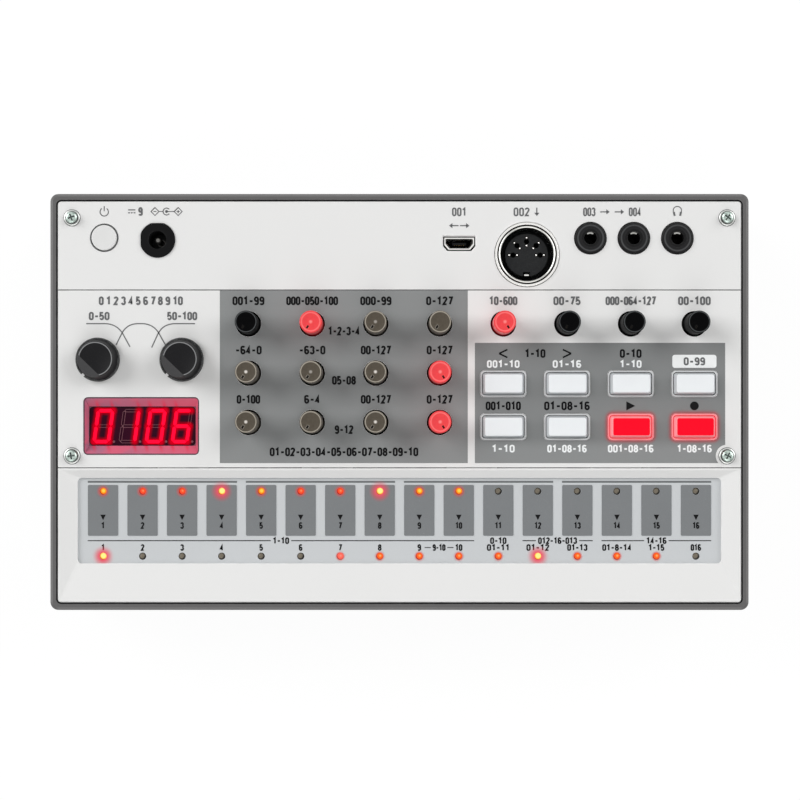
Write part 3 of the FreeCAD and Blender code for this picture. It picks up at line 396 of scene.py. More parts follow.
def make_block_finish():
    """The printed grey, with painted shade that makes it a little darker among the keys."""
    block = Finish("block_grey", paint(130, 132, 132), 0.52, grain=6500, patch=60, tone=0.04, relief=0.006)
    axis = block.axis()
    shade_among_keys = block.math("MULTIPLY", block.ramp(axis["Y"], -13.5, -9.5), block.ramp(axis["X"], 17.0, 24.0))
    return block.over(shade_among_keys, paint(116, 118, 118), 0.8).dusty(dust_tint, 0.1).done()


case_grey = make_case_finish()
# The panel's pale edges are a painted highlight.
panel_white = Finish("panel_white", paint(228, 228, 227), 0.48, grain=5200, patch=25, tone=0.01, relief=0.008
                     ).edge_wear_and_sheen(paint(252, 252, 251), 0.95, 0.35, 300).dusty(paint(206, 205, 202), 0.12).done()
foot_rubber = Finish("foot_rubber", paint(38, 38, 39), 0.85, grain=2600, tone=0.15, relief=0.05
                     ).edge_wear_and_sheen(paint(86, 86, 85), 0.6, 0.4).dusty(dust_tint, 0.4).done()
bright_metal = Finish("bright_metal", paint(234, 233, 230), 0.22, grain=2500, patch=500, relief=0.004,
                      metallic=1.0).edge_wear_and_sheen(paint(240, 239, 235), 0.6, 0.15).done()
dull_metal = Finish("dull_metal", paint(104, 103, 100), 0.4, grain=2500, patch=500, metallic=1.0).done()
shaft_metal = Finish("shaft_metal", paint(186, 186, 182), 0.3, grain=6500, metallic=1.0).done()
solder_gold = Finish("solder_gold", paint(214, 178, 98), 0.28, grain=4000, relief=0.005, metallic=1.0).done()
cable_grey = Finish("cable_grey", paint(150, 152, 155), 0.45, grain=2000).done()
black_plastic = {"grain": 4200, "tone": 0.1, "relief": 0.012, "specular_ior_level": 0.12}
socket_black = Finish("socket_black", paint(25, 25, 26), 0.4, **black_plastic
                      ).edge_wear_and_sheen(paint(84, 85, 85), 0.5, 0.2).dusty(dust_tint, 0.04).done()
# The collar's rings are painted: shade near the bore and at the outer edge, and a highlight ring between
# them.
collar_black = Finish("collar_black", paint(28, 28, 29), 0.4, **black_plastic
                      ).painted_ring(2.15, 0.35, paint(14, 14, 15), 0.9).painted_ring(3.5, 0.24, paint(74, 75, 76), 0.8
                      ).painted_ring(3.95, 0.2, paint(16, 16, 17), 0.8).dusty(dust_tint, 0.04).done()
insert_black = Finish("insert_black", paint(33, 34, 35), 0.6, grain=2200, patch=1300, tone=0.35, relief=0.03,
                      specular_ior_level=0.12).dusty(dust_tint, 0.08).done()
adaptor_black = Finish("adaptor_black", paint(14, 14, 15), 0.42, grain=4200, tone=0.1, relief=0.012,
                       specular_ior_level=0.08).edge_wear_and_sheen(paint(70, 71, 72), 0.5, 0.2).done()
inner_black = Finish("inner_black", paint(16, 16, 17), 0.6, grain=3000, tone=0.1, relief=0.02,
                     specular_ior_level=0.1).done()
# Painted highlights on the large knobs: a pale ring where the crown rounds over, a fainter one at the skirt's
# edge, and painted sheen along the edges.
knob_black = Finish("knob_black", paint(18, 18, 20), 0.46, grain=5600, tone=0.1, relief=0.012,
                    specular_ior_level=0.12
                    ).painted_ring(4.5, 0.15, paint(140, 141, 142), 0.9).painted_ring(5.85, 0.12, paint(84, 85, 85), 0.7
                    ).edge_wear_and_sheen(paint(112, 113, 113), 0.8, 0.5, 500).dusty(dust_tint, 0.05).done()
# A paler copy of the knob black for the slanted flat in the crown: painted sheen on the same black plastic.
knob_facet_sheen = Finish("knob_facet_sheen", paint(67, 67, 68), 0.34, grain=3600, tone=0.08, relief=0.006,
                    specular_ior_level=0.12
                    ).edge_wear_and_sheen(paint(104, 104, 104), 0.6, 0.22, 1400).dusty(dust_tint, 0.06).done()
# Painted sheen on the black knobs: paler edges and a thin pale ring near the top's edge.
gloss_black = Finish("gloss_black", paint(9, 9, 10), 0.34, grain=4200, tone=0.1, relief=0.004,
                     specular_ior_level=0.012).edge_wear_and_sheen(paint(64, 65, 66), 0.5, 0.3, 500
                     ).dusty(dust_tint, 0.01).painted_ring(2.76, 0.15, paint(96, 99, 100), 0.6).done()
dark_marks_and_shade = Finish("dark_marks_and_shade", paint(22, 19, 16), 0.6, grain=3600, tone=0.2, relief=0.0,
                   specular_ior_level=0.1).done()

# Finishes of the keys, the touch strip and the prints

key_white = make_key_finish()
# The power button's pale edges are a painted highlight.
power_white = Finish("power_white", paint(221, 221, 220), 0.42, patch=300, tone=0.01, relief=0.008
                     ).edge_wear_and_sheen(paint(246, 246, 246), 0.8, 0.25, 600).done()
touch_silver = Finish("touch_silver", paint(197, 200, 202), 0.42, grain=9000, patch=40, tone=0.02,
                      relief=0.004).dusty(dust_tint, 0.1).done()
pad_grey = Finish("pad_grey", paint(114, 117, 119), 0.5, grain=6500, patch=90, tone=0.04
                  ).dusty(dust_tint, 0.12).done()
block_grey = make_block_finish()
bar_grey = Finish("bar_grey", paint(96, 100, 101), 0.5, grain=6500, tone=0.04, relief=0.006).done()
ink = {"grain": 9000, "patch": 900, "relief": 0.003}
black_ink = Finish("black_ink", paint(12, 12, 13), 0.6, tone=0.2, specular_ior_level=0.1, **ink).done()
# The same grey also paints shade in the groove, round the power button and round the screws.
grey_ink_and_shade = Finish("grey_ink_and_shade", paint(104, 105, 106), 0.6, tone=0.1, specular_ior_level=0.1, **ink).done()
white_ink = Finish("white_ink", paint(238, 240, 240), 0.5, tone=0.02, **ink).done()


# Finishes of the screws, the boards and the cells

def make_plated_finish():
    """Zinc plate: a bright washer, painted shade as a dark line in the crease round the core, and scuffed
    metal in it.
    """
    plate = Finish("plated_screw", paint(196, 198, 195), 0.3, grain=3000, patch=1600, tone=0.14, relief=0.008,
                   metallic=0.85)
    distance = plate.axis()["Distance"]
    inside = plate.ramp(distance, 1.68, 1.55)
    scuffs = plate.ramp(plate.noise(1500.0, 3.0), 0.42, 0.62)
    plate.over(inside, paint(186, 202, 194), 0.9)
    plate.over(plate.math("MULTIPLY", inside, scuffs), paint(112, 124, 118), 0.7)
    plate.over(plate.near(distance, 1.72, 0.2, 0.06), paint(30, 38, 36), 0.95)
    return plate.edge_wear_and_sheen(paint(240, 241, 238), 0.6, 0.12, 2500).done()


def make_board_finish():
    """Green lacquer with lighter tracks under it and tinned spots."""
    board = Finish("board_green", paint(22, 86, 60), 0.35, grain=900, patch=120, tone=0.12)
    place = own_place(board.tree)
    lacquer = (0.0, 0.0, 0.0, 1.0)
    lines = new_node(board.tree, "TexBrick", Vector=place, Scale=140.0, Mortar_Size=0.06,
                     Color1=lacquer, Color2=lacquer, Mortar=(1.0, 1.0, 1.0, 1.0))
    spots = new_node(board.tree, "TexVoronoi", Vector=place, Scale=320.0)
    board.over(lines.outputs["Color"], paint(46, 124, 84), 0.8)
    board.over(board.ramp(spots.outputs["Distance"], 0.24, 0.18), paint(190, 192, 186))
    return board.done()


def make_cell_finish():
    """A plain two-tone sleeve: a dark body and a lighter band at every cell's raised end."""
    sleeve = Finish("cell_sleeve", paint(40, 44, 52), 0.3, grain=3000, relief=0.004)
    band = sleeve.math("FLOORED_MODULO", sleeve.axis()["X"], cell_length)
    sleeve.over(sleeve.ramp(band, 38.0, 38.3), paint(196, 146, 74))
    return sleeve.done()


plated_screw = make_plated_finish()
# A darker copy of the plate for the cross recess: painted shade.
plated_recess_shade = Finish("plated_recess_shade", paint(104, 116, 111), 0.35, grain=3000, patch=1600, tone=0.2,
                       metallic=0.6).done()
board_green = make_board_finish()
cell_sleeve = make_cell_finish()


# Finishes of the translucent pieces

def make_smoky_finish(name, core):
    """Smoky translucent plastic with a painted highlight ring near the top's edge and painted sheen on its
    edges; the unlit lamp below shows as a pale spot in the middle of the top.
    """
    smoke = Finish(name, paint(82, 75, 65), 0.3, grain=2600, patch=1500, tone=0.22, relief=0.02,
                   specular_ior_level=0.15)
    axis = smoke.axis()
    top = smoke.ramp(axis["Height"], knob_top - 0.2, knob_top - 0.05)
    ring = smoke.near(axis["Distance"], 2.74, 0.2, 0.08)
    spot = smoke.ramp(axis["Distance"], 0.62, 0.18)
    smoke.over(smoke.math("MULTIPLY", ring, top), paint(184, 177, 164), 0.65)
    smoke.over(smoke.math("MULTIPLY", spot, top), paint(226, 220, 212), core)
    return smoke.edge_wear_and_sheen(paint(170, 165, 157), 0.75, 0.45, 700).done()


def make_lit_knob_finish():
    """The same plastic with its lamp on: a painted highlight ring near the top's edge, painted sheen on its
    edges, and darker and dimmer towards the foot.
    """
    lit = Finish("knob_lit", paint(226, 68, 72), 0.3, grain=2600, patch=1500, tone=0.1, relief=0.02,
                 specular_ior_level=0.15)
    axis = lit.axis()
    top = lit.ramp(axis["Height"], knob_top - 0.2, knob_top - 0.05)
    rim = lit.math("MULTIPLY", lit.near(axis["Distance"], 2.5, 0.3, 0.05), top)
    middle = lit.math("MULTIPLY", lit.ramp(axis["Distance"], 0.7, 0.1), top)
    lit.over(rim, paint(244, 122, 122), 0.8).over(middle, paint(248, 150, 146), 0.8)
    foot = lit.ramp(axis["Height"], knob_top - 0.6, face - 1.0, False)
    lit.over(foot, paint(138, 30, 36), 0.85)
    glow = lit.mix(lit.ramp(lit.noise(420.0), 0.4, 0.7), paint(240, 50, 60), paint(250, 76, 50))
    lit.glowing(lit.mix(foot, glow, paint(150, 8, 16)), 0.12)
    return lit.edge_wear_and_sheen(paint(238, 128, 124), 0.6, 0.3, 900).done()


def make_lit_key_finish():
    """White plastic lit from inside: deep red on the top, pink where the walls are thin."""
    lit = Finish("key_lit", paint(248, 158, 164), 0.36, grain=5200, patch=300, tone=0.02, relief=0.006,
                 specular_ior_level=0.1)
    top = lit.facing_up(0.85, 0.97)
    lit.over(top, paint(246, 8, 38))
    return lit.glowing(lit.mix(top, paint(255, 84, 96), paint(250, 2, 26)), 0.14).done()


def make_clear_finish():
    """Clear plastic; round the two lit keys their red light is painted on it, and its edges carry a painted
    white highlight.
    """
    clear = Finish("clear_frame", paint(234, 236, 237), 0.14, grain=2500, relief=0.004,
                   transmission_weight=0.25, ior=1.49)
    axis = clear.axis()
    columns = [clear.near(axis["X"], box_middle(node)[0], 7.4, 6.6) for node in lit_keys]
    row = clear.near(axis["Y"], key_row_front, 4.8, 4.0)
    lit = clear.math("MULTIPLY", clear.math("MAXIMUM", *columns), row)
    clear.edge_wear_and_sheen(paint(255, 255, 255), 0.9, 0.16, 200)
    clear.over(lit, clear.mix(clear.facing_up(0.9, 0.98), paint(255, 66, 84), paint(255, 168, 174)))
    return clear.glowing(clear.mix(lit, paint(0, 0, 0), paint(255, 84, 100)), 0.14).done()


def make_window_finish():
    """Glossy smoked walls of the display frame with the red light of the figures painted on them, stronger
    toward the right and in patches; darker along the edges and on the faces that look straight up.
    """
    walls = Finish("smoked_window", paint(176, 118, 144), 0.2, grain=1500, patch=160, tone=0.08, relief=0.0,
                   coat_weight=0.3, coat_roughness=0.1)
    toward_right = walls.ramp(walls.axis()["X"], display_x - 18, display_x + 14)
    clouds = walls.ramp(walls.noise(130.0), 0.35, 0.65)
    walls.over(walls.math("MAXIMUM", toward_right, clouds), paint(228, 104, 130), 0.85)
    walls.edge_wear_and_sheen(paint(96, 56, 74), 0.9, 0.2, 100)
    return walls.over(walls.facing_up(0.93, 0.99), paint(92, 54, 72), 0.85).done()


smoky_bright = make_smoky_finish("smoky_bright", 0.95)
smoky_faint = make_smoky_finish("smoky_faint", 0.4)
smoky_plain = make_smoky_finish("smoky_plain", 0.0)
knob_lit = make_lit_knob_finish()
key_lit = make_lit_key_finish()
clear_frame = make_clear_finish()
smoked_window = make_window_finish()
window_dark = Finish("window_dark", paint(84, 60, 70), 0.3, grain=1500, patch=160, tone=0.08, relief=0.0,
                     specular_ior_level=0.2).done()
module_red = Finish("module_red", paint(46, 8, 28), 0.3, grain=1500, patch=300, tone=0.2, relief=0.0,
                    specular_ior_level=0.05).done()
bar_off = Finish("bar_off", paint(120, 80, 88), 0.4, grain=3000, patch=900, tone=0.1, relief=0.0,
                 specular_ior_level=0.1).done()
bar_lit = Finish("bar_lit", paint(255, 10, 44), 0.5, grain=3000, patch=900, tone=0.02, relief=0.0,
                 specular_ior_level=0.0).glowing(paint(255, 8, 42), 1.1).done()


# Finishes of the lamps and of the painted glow round them

def make_halo_finish(name, colour, most, strength=0.8):
    """Painted soft glow round a lamp: the piece gives off light and fades out with its own falloff value."""
    material, tree, shader = new_material(name)
    falloff = new_node(tree, "Attribute")
    falloff.attribute_name = "falloff"
    cover = math_node(tree, "MULTIPLY", math_node(tree, "POWER", falloff.outputs["Fac"], 1.8), most)
    tone = group_node(tree, moulded_grain).outputs["Tone"]
    settings = {
        "Base Color": (0.0, 0.0, 0.0, 1.0), "Specular IOR Level": 0.0, "Roughness": 1.0, "Alpha": cover,
        "Emission Color": mix_colours(tree, tone, scaled(colour, 0.92), colour),
        "Emission Strength": strength,
    }
    for label, value in settings.items():
        connect(tree, value, shader.inputs[label])
    return material


def lamp_distance(lamp, shift_x, shift_y):
    """How far a spot is from a point in its own lamp; the lamps of a row repeat at the pad pitch."""
    axis = lamp.axis()
    row_gap = step_lamp_y - part_lamp_y
    x = lamp.math("ADD", lamp.math("WRAP", axis["X"], pad_pitch, 0.0), shift_x - pad_pitch / 2)
    y = lamp.math("WRAP", lamp.math("SUBTRACT", axis["Y"], step_lamp_y), row_gap / 2, -row_gap / 2)
    y = lamp.math("ADD", y, shift_y)
    return lamp.math("SQRT", lamp.math("ADD", lamp.math("MULTIPLY", x, x), lamp.math("MULTIPLY", y, y)))


def make_lamp_finish(name, rim, body, core, strength, core_size):
    """Resin over a lamp: a bright core up and to the right of the middle as a painted highlight on the glow,
    and a darker rim on the other side as painted shade.
    """
    lamp = Finish(name, scaled(rim, 0.35), 0.3, grain=3000, patch=900, tone=0.05, relief=0.0,
                  specular_ior_level=0.15)
    distance = lamp_distance(lamp, -0.12, -0.14)
    glow = lamp.mix(lamp.ramp(distance, 1.05, 0.6), rim, body)
    glow = lamp.mix(lamp.ramp(distance, 0.86, 1.12), glow, scaled(rim, 0.3))
    glow = lamp.mix(lamp.ramp(distance, core_size + 0.2, core_size - 0.25), glow, core)
    return lamp.glowing(glow, strength).done()


def make_dark_lamp_finish():
    """A lamp that is off: brownish resin with a dark crescent on the side away from the light."""
    off = Finish("lamp_dark", paint(112, 104, 90), 0.3, grain=3000, patch=1500, tone=0.2, relief=0.0,
                 specular_ior_level=0.3)
    off.over(off.ramp(lamp_distance(off, 0.28, -0.22), 0.62, 1.0), paint(24, 21, 16), 0.95)
    return off.done()


# Each kind of lamp by its letter: name, rim, body and core colour, strength and size of the core
lamp_kinds = {
    "A": ("lamp_amber", paint(222, 84, 10), paint(255, 150, 10), paint(255, 226, 80), 0.85, 0.5),
    "O": ("lamp_orange", paint(214, 66, 22), paint(255, 104, 28), paint(255, 190, 110), 0.85, 0.3),
    "R": ("lamp_red", paint(216, 50, 30), paint(248, 84, 40), paint(255, 156, 96), 0.8, 0.28),
    "P": ("lamp_rose", paint(232, 84, 70), paint(255, 110, 92), paint(255, 150, 130), 0.8, 0.3),
    "B": ("lamp_bright", paint(255, 140, 40), paint(255, 214, 70), paint(255, 250, 150), 0.9, 0.75),
}
lamp_finishes = {letter: make_lamp_finish(*kind) for letter, kind in lamp_kinds.items()}
lamp_finishes["D"] = make_dark_lamp_finish()
halo_pink = make_halo_finish("halo_pink", paint(255, 120, 118), 0.7)
halo_strong = make_halo_finish("halo_strong", paint(255, 104, 122), 0.95, 0.95)
halo_streak = make_halo_finish("halo_streak", paint(244, 56, 88), 0.62, 0.95)
halo_key = make_halo_finish("halo_key", paint(240, 96, 104), 0.5, 0.75)
halo_display = make_halo_finish("halo_display", paint(240, 0, 36), 0.92)


# Mesh helpers

class Shape:
    """A mesh in the making, in millimetres."""

    def __init__(self):
        self.mesh = bmesh.new()

    def ring(self, points, height):
        return [self.mesh.verts.new((x * MM, y * MM, height * MM)) for x, y in points]

    def skin(self, rings, closed=False, material=0):
        """Faces between rings of equal length; a closed skin joins the last ring to the first."""
        pairs = list(zip(rings, rings[1:]))
        if closed:
            pairs.append((rings[-1], rings[0]))
        for lower, upper in pairs:
            count = len(lower)
            for index in range(count):
                follow = (index + 1) % count
                face_made = self.mesh.faces.new((lower[index], lower[follow], upper[follow], upper[index]))
                face_made.material_index = material

    def cap(self, ring, faces_up=True, material=0):
        made = self.mesh.faces.new(ring if faces_up else ring[::-1])
        made.material_index = material

    def solid(self, rings, material=0):
        """A closed solid through rings of equal length, from its foot to its top."""
        self.skin(rings, material=material)
        self.cap(rings[0], False, material)
        self.cap(rings[-1], True, material)

    def round_rings(self, x, y, profile, segments):
        """A ring for each (radius, height) of the profile."""
        return [self.ring(round_points(x, y, radius, segments), height) for radius, height in profile]

    def turned(self, x, y, profile, segments=64, material=0):
        """A closed solid of revolution; the profile runs from the foot outside up to the top."""
        self.solid(self.round_rings(x, y, profile, segments), material)

    def tube(self, x, y, profile, segments=64, material=0):
        """A ring-shaped solid of revolution; the profile is a closed line of (radius, height)."""
        self.skin(self.round_rings(x, y, profile, segments), closed=True, material=material)

    def stack(self, x, y, sections):
        """A closed solid through rounded rectangles, each given as (width, depth, radius, height)."""
        self.solid([self.ring(rounded_points(x, y, *section[:3]), section[3]) for section in sections])

    def prism(self, outline, low, high, material=0):
        self.solid([self.ring(outline, low), self.ring(outline, high)], material)

    def block(self, x_low, x_high, y_low, y_high, low, high, material=0):
        self.prism(corners_of(x_low, x_high, y_low, y_high), low, high, material)

    def sheet(self, loops, height, material=0):
        """A flat face inside the first loop, with the other loops as holes."""
        flat = [[Vector((x, y, 0)) for x, y in loop] for loop in loops]
        corners = [point for loop in flat for point in loop]
        verts = [self.mesh.verts.new((point.x * MM, point.y * MM, height * MM)) for point in corners]
        for triangle in tessellate_polygon(flat):
            made = self.mesh.faces.new([verts[index] for index in triangle])
            made.normal_update()
            if made.normal.z < 0:
                made.normal_flip()
            made.material_index = material

    def band(self, points, width, height, closed=False, material=0):
        """A flat line of one width along points, mitred at its corners."""
        spots = [Vector(point) for point in points]
        count = len(spots)
        left, right = [], []
        for index, spot in enumerate(spots):
            before = spots[index - 1] if index or closed else spot
            after = spots[(index + 1) % count] if index < count - 1 or closed else spot
            first = (spot - before).normalized() if before != spot else (after - spot).normalized()
            second = (after - spot).normalized() if after != spot else first
            run = (first + second).normalized()
            side = Vector((-run.y, run.x))
            reach = width / 2 / max(side.dot(Vector((-first.y, first.x))), 0.5)
            left.append(tuple(spot + side * reach))
            right.append(tuple(spot - side * reach))
        lefts = self.ring(left, height)
        rights = self.ring(right, height)
        for index in range(count if closed else count - 1):
            follow = (index + 1) % count
            made = self.mesh.faces.new((rights[index], rights[follow], lefts[follow], lefts[index]))
            made.material_index = material

    def figures(self, text, x, y, cap_height, height, width, stroke=None):
        """Plain figures in even strokes, their middle at (x, y), spread to the given width."""
        stroke = stroke or cap_height * 0.215
        advances = [figure_advance.get(letter, 1.0) for letter in text]
        unit = (width - stroke) / (sum(advances) - figure_gap)
        tall = cap_height - stroke
        start = x - width / 2 + stroke / 2
        for letter, advance in zip(text, advances):
            for level, (closed, points) in enumerate(figure_strokes.get(letter, [])):
                reach = (advance - figure_gap) * unit
                line = [(start + u * reach, y - tall / 2 + v * tall) for u, v in points]
                self.band(line, stroke, height + 0.008 * level, closed)
            start += advance * unit

    def surround(self, outer, inner, height, material=0):
        """A flat face between two outlines."""
        self.sheet([outer, inner[::-1]], height, material)

    def falloff(self):
        """The layer that tells the soft light how bright each corner is."""
        layers = self.mesh.verts.layers.float
        return layers.get("falloff") or layers.new("falloff")

    def faded_ring(self, points, height, bright):
        """A ring whose corners all have the same brightness."""
        layer = self.falloff()
        ring = self.ring(points, height)
        for vertex in ring:
            vertex[layer] = bright
        return ring

    def halo(self, x, y, inner, outer, height, segments=40):
        """A flat ring whose falloff value is 1 at its inner edge and 0 at its outer one."""
        steps = 6
        rings = []
        for step in range(steps + 1):
            points = round_points(x, y, inner + (outer - inner) * step / steps, segments)
            rings.append(self.faded_ring(points, height, 1.0 - step / steps))
        self.skin(rings[::-1])

    def piece(self, name, materials, body, replaces=(), sharp_angle=35.0):
        """Closes the mesh, makes the piece and lets it ride on its body."""
        bmesh.ops.remove_doubles(self.mesh, verts=self.mesh.verts, dist=1e-7)
        made = bpy.data.meshes.new(name)
        self.mesh.to_mesh(made)
        self.mesh.free()
        made.shade_smooth()
        made.set_sharp_from_angle(angle=math.radians(sharp_angle))
        for material in materials:
            made.materials.append(material)
        thing = bpy.data.objects.new(name, made)
        bpy.context.scene.collection.objects.link(thing)
        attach(thing, body)
        for node in replaces:
            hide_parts(node)
        return thing


def corners_of(x_low, x_high, y_low, y_high):
    return [(x_low, y_low), (x_high, y_low), (x_high, y_high), (x_low, y_high)]


def round_points(x, y, radius, segments=64):
    points = []
    for index in range(segments):
        angle = 2 * math.pi * index / segments
        points.append((x + radius * math.cos(angle), y + radius * math.sin(angle)))
    return points


def rounded_points(x, y, width, depth, radius, steps=5):
    """A rectangle with round corners, counted anticlockwise from its right edge."""
    points = []
    for side_x, side_y, turn in ((1, 1, 0), (-1, 1, 1), (-1, -1, 2), (1, -1, 3)):
        centre_x = x + side_x * (width / 2 - radius)
        centre_y = y + side_y * (depth / 2 - radius)
        for step in range(steps + 1):
            angle = math.pi / 2 * (turn + step / steps)
            points.append((centre_x + radius * math.cos(angle), centre_y + radius * math.sin(angle)))
    return points


def edge_profile(radius, top, edge, steps=5):
    """The end of a profile that rounds an outer edge over into a flat top."""
    points = []
    for step in range(steps + 1):
        angle = math.pi / 2 * step / steps
        points.append((radius - edge + edge * math.cos(angle), top - edge + edge * math.sin(angle)))
    return points


def bow(centre_u, centre_v, reach_u, reach_v, start, end, steps=12):
    """Part of an oval about its centre, from one angle to another, anticlockwise from the right."""
    points = []
    for step in range(steps + 1):
        angle = math.radians(start + (end - start) * step / steps)
        points.append((centre_u + reach_u * math.cos(angle), centre_v + reach_v * math.sin(angle)))
    return points


def turned_over(points):
    """Half a turn inside a figure's own box, which runs from 0 to 1 both ways."""
    return [(1 - u, 1 - v) for u, v in points]


# Strokes of the printed figures, and how much room each takes beside a full figure
figure_gap = 0.42
six_bowl = bow(0.5, 0.27, 0.5, 0.27, 0, 345, 24)
six_back = [(0.0, 0.27)] + bow(0.5, 0.82, 0.5, 0.18, 180, 20)
figure_strokes = {
    "0": [(True, bow(0.5, 0.8, 0.5, 0.2, 0, 180) + bow(0.5, 0.2, 0.5, 0.2, 180, 360))],
    "1": [(False, [(0.0, 0.8), (0.6, 1.0), (0.6, 0.0)])],
    "2": [(False, bow(0.5, 0.78, 0.5, 0.22, 170, -25) + [(0.02, 0.0), (1.0, 0.0)])],
    "3": [(False, bow(0.48, 0.77, 0.48, 0.23, 165, -75)), (False, bow(0.48, 0.27, 0.52, 0.27, 75, -165))],
    "4": [(False, [(0.72, 0.0), (0.72, 1.0), (0.0, 0.28), (1.0, 0.28)])],
    "5": [(False, [(0.95, 1.0), (0.1, 1.0), (0.06, 0.52)] + bow(0.48, 0.3, 0.52, 0.3, 115, -155))],
    "6": [(True, six_bowl), (False, six_back)],
    "7": [(False, [(0.0, 1.0), (1.0, 1.0), (0.34, 0.0)])],
    "8": [(True, bow(0.5, 0.76, 0.44, 0.24, 0, 345, 24)), (True, bow(0.5, 0.26, 0.5, 0.26, 0, 345, 24))],
    "9": [(True, turned_over(six_bowl)), (False, turned_over(six_back))],
    "-": [(False, [(0.0, 0.45), (1.0, 0.45)])],
}
figure_advance = {"1": 1.0, "-": 0.95, " ": 0.42}


def cut_away(thing, cutter_shape, name):
    """Takes a cutter out of a piece and applies the cut; the cut faces keep the cutter's finish."""
    data = bpy.data.meshes.new(name)
    bmesh.ops.recalc_face_normals(cutter_shape.mesh, faces=cutter_shape.mesh.faces)
    cutter_shape.mesh.to_mesh(data)
    cutter_shape.mesh.free()
    for material in thing.data.materials:
        data.materials.append(material)
    cutter = bpy.data.objects.new(name, data)
    bpy.context.scene.collection.objects.link(cutter)
    step = thing.modifiers.new("cut", "BOOLEAN")
    step.operation = "DIFFERENCE"
    step.solver = "EXACT"
    step.object = cutter
    bpy.context.view_layer.update()
    graph = bpy.context.evaluated_depsgraph_get()
    result = bpy.data.meshes.new_from_object(thing.evaluated_get(graph))
    thing.modifiers.clear()
    old = thing.data
    thing.data = result
    bpy.data.meshes.remove(old)
    bpy.data.objects.remove(cutter)
    result.shade_smooth()
    result.set_sharp_from_angle(angle=math.radians(35))


def wear(node, material):
    """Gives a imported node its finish."""
    for slot_held in nodes[node].material_slots:
        slot_held.material = material
    if not nodes[node].material_slots:
        nodes[node].data.materials.append(material)


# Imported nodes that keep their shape

worn_finishes = {
    case_grey: ("lower_case", "battery_door"),
    panel_white: ("top_panel", "touch_bezel"),
    board_green: ("main_board", "touch_board"),
    socket_black: ("jack_sync_in", "jack_sync_out", "jack_headphones", "dc_socket"),
    insert_black: ("din_insert",),
    shaft_metal: ("shaft_bass", "shaft_treble", "large_pots", "battery_contacts"),
    bright_metal: ("din_shell", "usb_shell", "board_screws"),
    dull_metal: ("dc_pin",),
    inner_black: ("usb_tongue", "push_switches", "small_pots"),
    foot_rubber: ("rubber_feet",),
    cable_grey: ("ribbon_cable",),
    touch_silver: ("touch_sheet",),
    lamp_finishes["D"]: ("knob_leds",),
    clear_frame: ("button_frame",),
    smoked_window: ("display_window",),
    module_red: ("display_module",),
    cell_sleeve: ("battery_cells",),
}
for material, dressed_nodes in worn_finishes.items():
    for node in dressed_nodes:
        wear(node, material)


# Small knobs

def turn_shape(shape, angle, axis="Z", centre=(0.0, 0.0, 0.0)):
    """Turns a shape by an angle in degrees about an axis through a centre in millimetres."""
    bmesh.ops.rotate(shape.mesh, verts=shape.mesh.verts, cent=Vector(centre) * MM,
                     matrix=Matrix.Rotation(math.radians(angle), 3, axis))


def pointer_cutter(pointer):
    """The short mark in a knob's top, for a knob on its own axis."""
    half = 0.25
    depth = 0.25
    start = 1.2
    end = 2.1
    shape = Shape()
    shape.block(-half, half, start, end, knob_top - depth, knob_top + 1, 1)
    turn_shape(shape, -pointer)
    return shape


def make_small_knob(node, material, pointer):
    """A round knob with a rounded edge, a slightly dished top and its mark."""
    x, y = box_middle(node)
    shape = Shape()
    profile = [(knob_radius, knob_foot)]
    profile += edge_profile(knob_radius, knob_top, knob_edge)
    profile += [(2.55, knob_top), (2.4, knob_top - 0.06)]
    shape.turned(0, 0, profile)
    thing = shape.piece("dressed_" + node, [material, dark_marks_and_shade], "housing")
    cut_away(thing, pointer_cutter(pointer), "mark")
    thing.parent = None
    thing.location = (x * MM, y * MM, 0)
    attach(thing, node[5:] + "_knob")
    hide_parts(node)


small_knob_finishes = {
    "knob_sample": gloss_black, "knob_start_point": knob_lit, "knob_length": smoky_faint,
    "knob_hi_cut": smoky_plain, "knob_speed": smoky_bright, "knob_pitch_eg_int": smoky_faint,
    "knob_pitch_attack": smoky_bright, "knob_pitch_decay": knob_lit, "knob_level": smoky_bright,
    "knob_pan": smoky_plain, "knob_amp_attack": smoky_bright, "knob_amp_decay": knob_lit,
    "knob_tempo": knob_lit, "knob_swing": gloss_black, "knob_reverb_mix": gloss_black,
    "knob_volume": gloss_black,
}
resting_high = ("knob_pitch_decay", "knob_amp_decay", "knob_tempo")
for node, material in small_knob_finishes.items():
    make_small_knob(node, material, knob_rest_high if node in resting_high else knob_rest_low)


# Large knobs

def make_large_knob(name):
    """A skirted knob with a slanted flat in its crown, a notch in its skirt and a seat for its shaft."""
    x, y = box_middle("shaft_" + name)
    foot = 36.8
    top = 42.0
    skirt_radius = 6.05
    skirt_top = foot + 1.2
    crown_radius = 4.85
    flat_start = 2.35
    flat_lean = -22
    shape = Shape()
    profile = [(5.95, foot), (skirt_radius, foot + 0.1)]
    profile += edge_profile(skirt_radius, skirt_top, 0.15, 3)
    profile += [(5.62, skirt_top), (5.52, foot + 1.3)]
    profile += edge_profile(crown_radius, top, 0.35)
    profile += [(4.3, top), (4.2, top - 0.05)]
    shape.turned(0, 0, profile, 96)
    thing = shape.piece("dressed_knob_" + name, [knob_black, knob_facet_sheen], "housing")
    facet = Shape()
    facet.block(-7, 7, flat_start, 14, top, top + 7, 1)
    turn_shape(facet, flat_lean, "X", (0.0, flat_start, top))
    notch = Shape()
    notch.block(-0.5, 0.5, 4.9, 8, foot - 1, foot + 1.8)
    seat = Shape()
    seat.turned(0, 0, [(3.02, foot - 1), (3.02, foot + 3.6)])
    for cutter in (facet, notch):
        turn_shape(cutter, -large_knob_rest)
    for cutter in (facet, notch, seat):
        cut_away(thing, cutter, "cutter")
    thing.parent = None
    thing.location = (x * MM, y * MM, 0)
    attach(thing, name + "_knob")
    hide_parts("knob_" + name)


